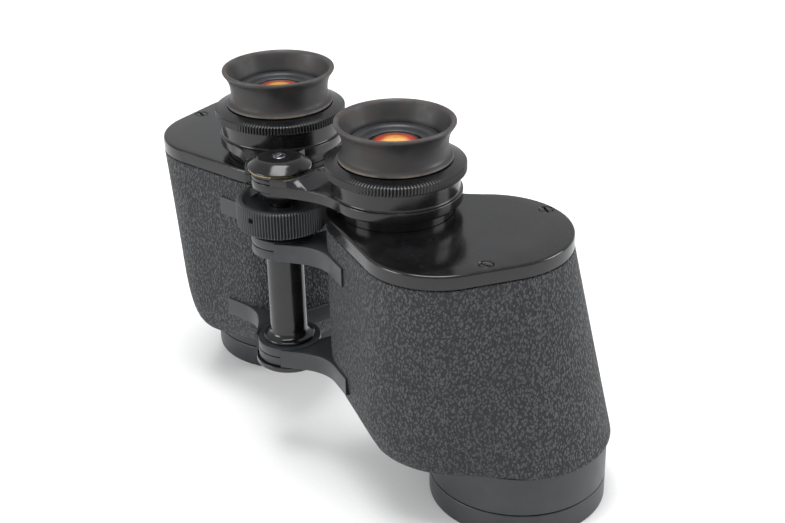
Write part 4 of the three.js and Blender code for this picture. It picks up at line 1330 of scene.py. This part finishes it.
# %% Finishes for the hidden pieces
hidden_finishes = {
    "prism_shelf": inside_black,
    "upper_prism": prism,
    "lower_prism": prism,
    "upper_strap": steel,
    "lower_strap": steel,
    "objective_rear_lens": prism,
    "field_lens": prism,
}
for half in ("left", "right"):
    for node, finish in hidden_finishes.items():
        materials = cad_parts[f"{half}_{node}"].data.materials
        materials.clear()
        materials.append(finish)
set_screw_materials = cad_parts["wheel_set_screw"].data.materials
set_screw_materials.clear()
set_screw_materials.append(inside_black)
print(2 * len(hidden_finishes) + 1, "CAD nodes keep their shape")

# %% [markdown]
# ## The room
#
# The floor is a sheet of pale paper, and the light is soft: an even room that the gloss enamel
# reflects, a lamp straight overhead that shows on every upper edge, and one lamp on each side
# that rakes across the grain. Black pieces are seen mostly by what they reflect, so the size
# and place of the lamps matter more here than their strength.

# %% Floor
FLOOR_HALF_WIDTH = 6.0
paper, tree, shader, place = new_material("pale_paper", Roughness=0.9)
fibres = noise(tree, place, 1.5, detail=4.0)
feed(tree, shader, Base_Color=mixed(tree, fibres, linear("f2f2f1"), linear("f8f8f8")))
floor_mesh = bpy.data.meshes.new("floor")
w = FLOOR_HALF_WIDTH
floor_mesh.from_pydata([(-w, -w, 0), (w, -w, 0), (w, w, 0), (-w, w, 0)], [], [(0, 1, 2, 3)])
floor_mesh.materials.append(paper)
floor = bpy.data.objects.new("floor", floor_mesh)
bpy.context.collection.objects.link(floor)

# %% [markdown]
# ## Lamps
#
# Soft light needs wide lamps. A picture of a studio could light the scene, but three square
# lamps and an even world can each be moved and weighed on their own.

# %% Lamps and the world
def soft_lamp(name, place, size, watts):
    """A square lamp at a place, facing the model."""
    lamp = bpy.data.objects.new(name, bpy.data.lights.new(name, "AREA"))
    lamp.data.size = size
    lamp.data.energy = watts
    lamp.location = place
    towards = Vector((0, 0, 0.06)) - Vector(place)
    lamp.rotation_euler = towards.to_track_quat("-Z", "Y").to_euler()
    bpy.context.collection.objects.link(lamp)
    return lamp


soft_lamp("ceiling_lamp", (0.05, -0.08, 1.3), 0.7, 12)
soft_lamp("right_lamp", (1.0, 1.3, 0.7), 0.8, 14)
soft_lamp("left_lamp", (-0.5, -1.6, 0.7), 0.8, 16)
world = bpy.data.worlds.new("grey_room")
world.use_nodes = True
world.node_tree.nodes["Background"].inputs["Color"].default_value = linear("f4f5f7")
world.node_tree.nodes["Background"].inputs["Strength"].default_value = 0.72
bpy.context.scene.world = world
bpy.context.scene.view_settings.view_transform = "Standard"
print("three lamps and an even room")
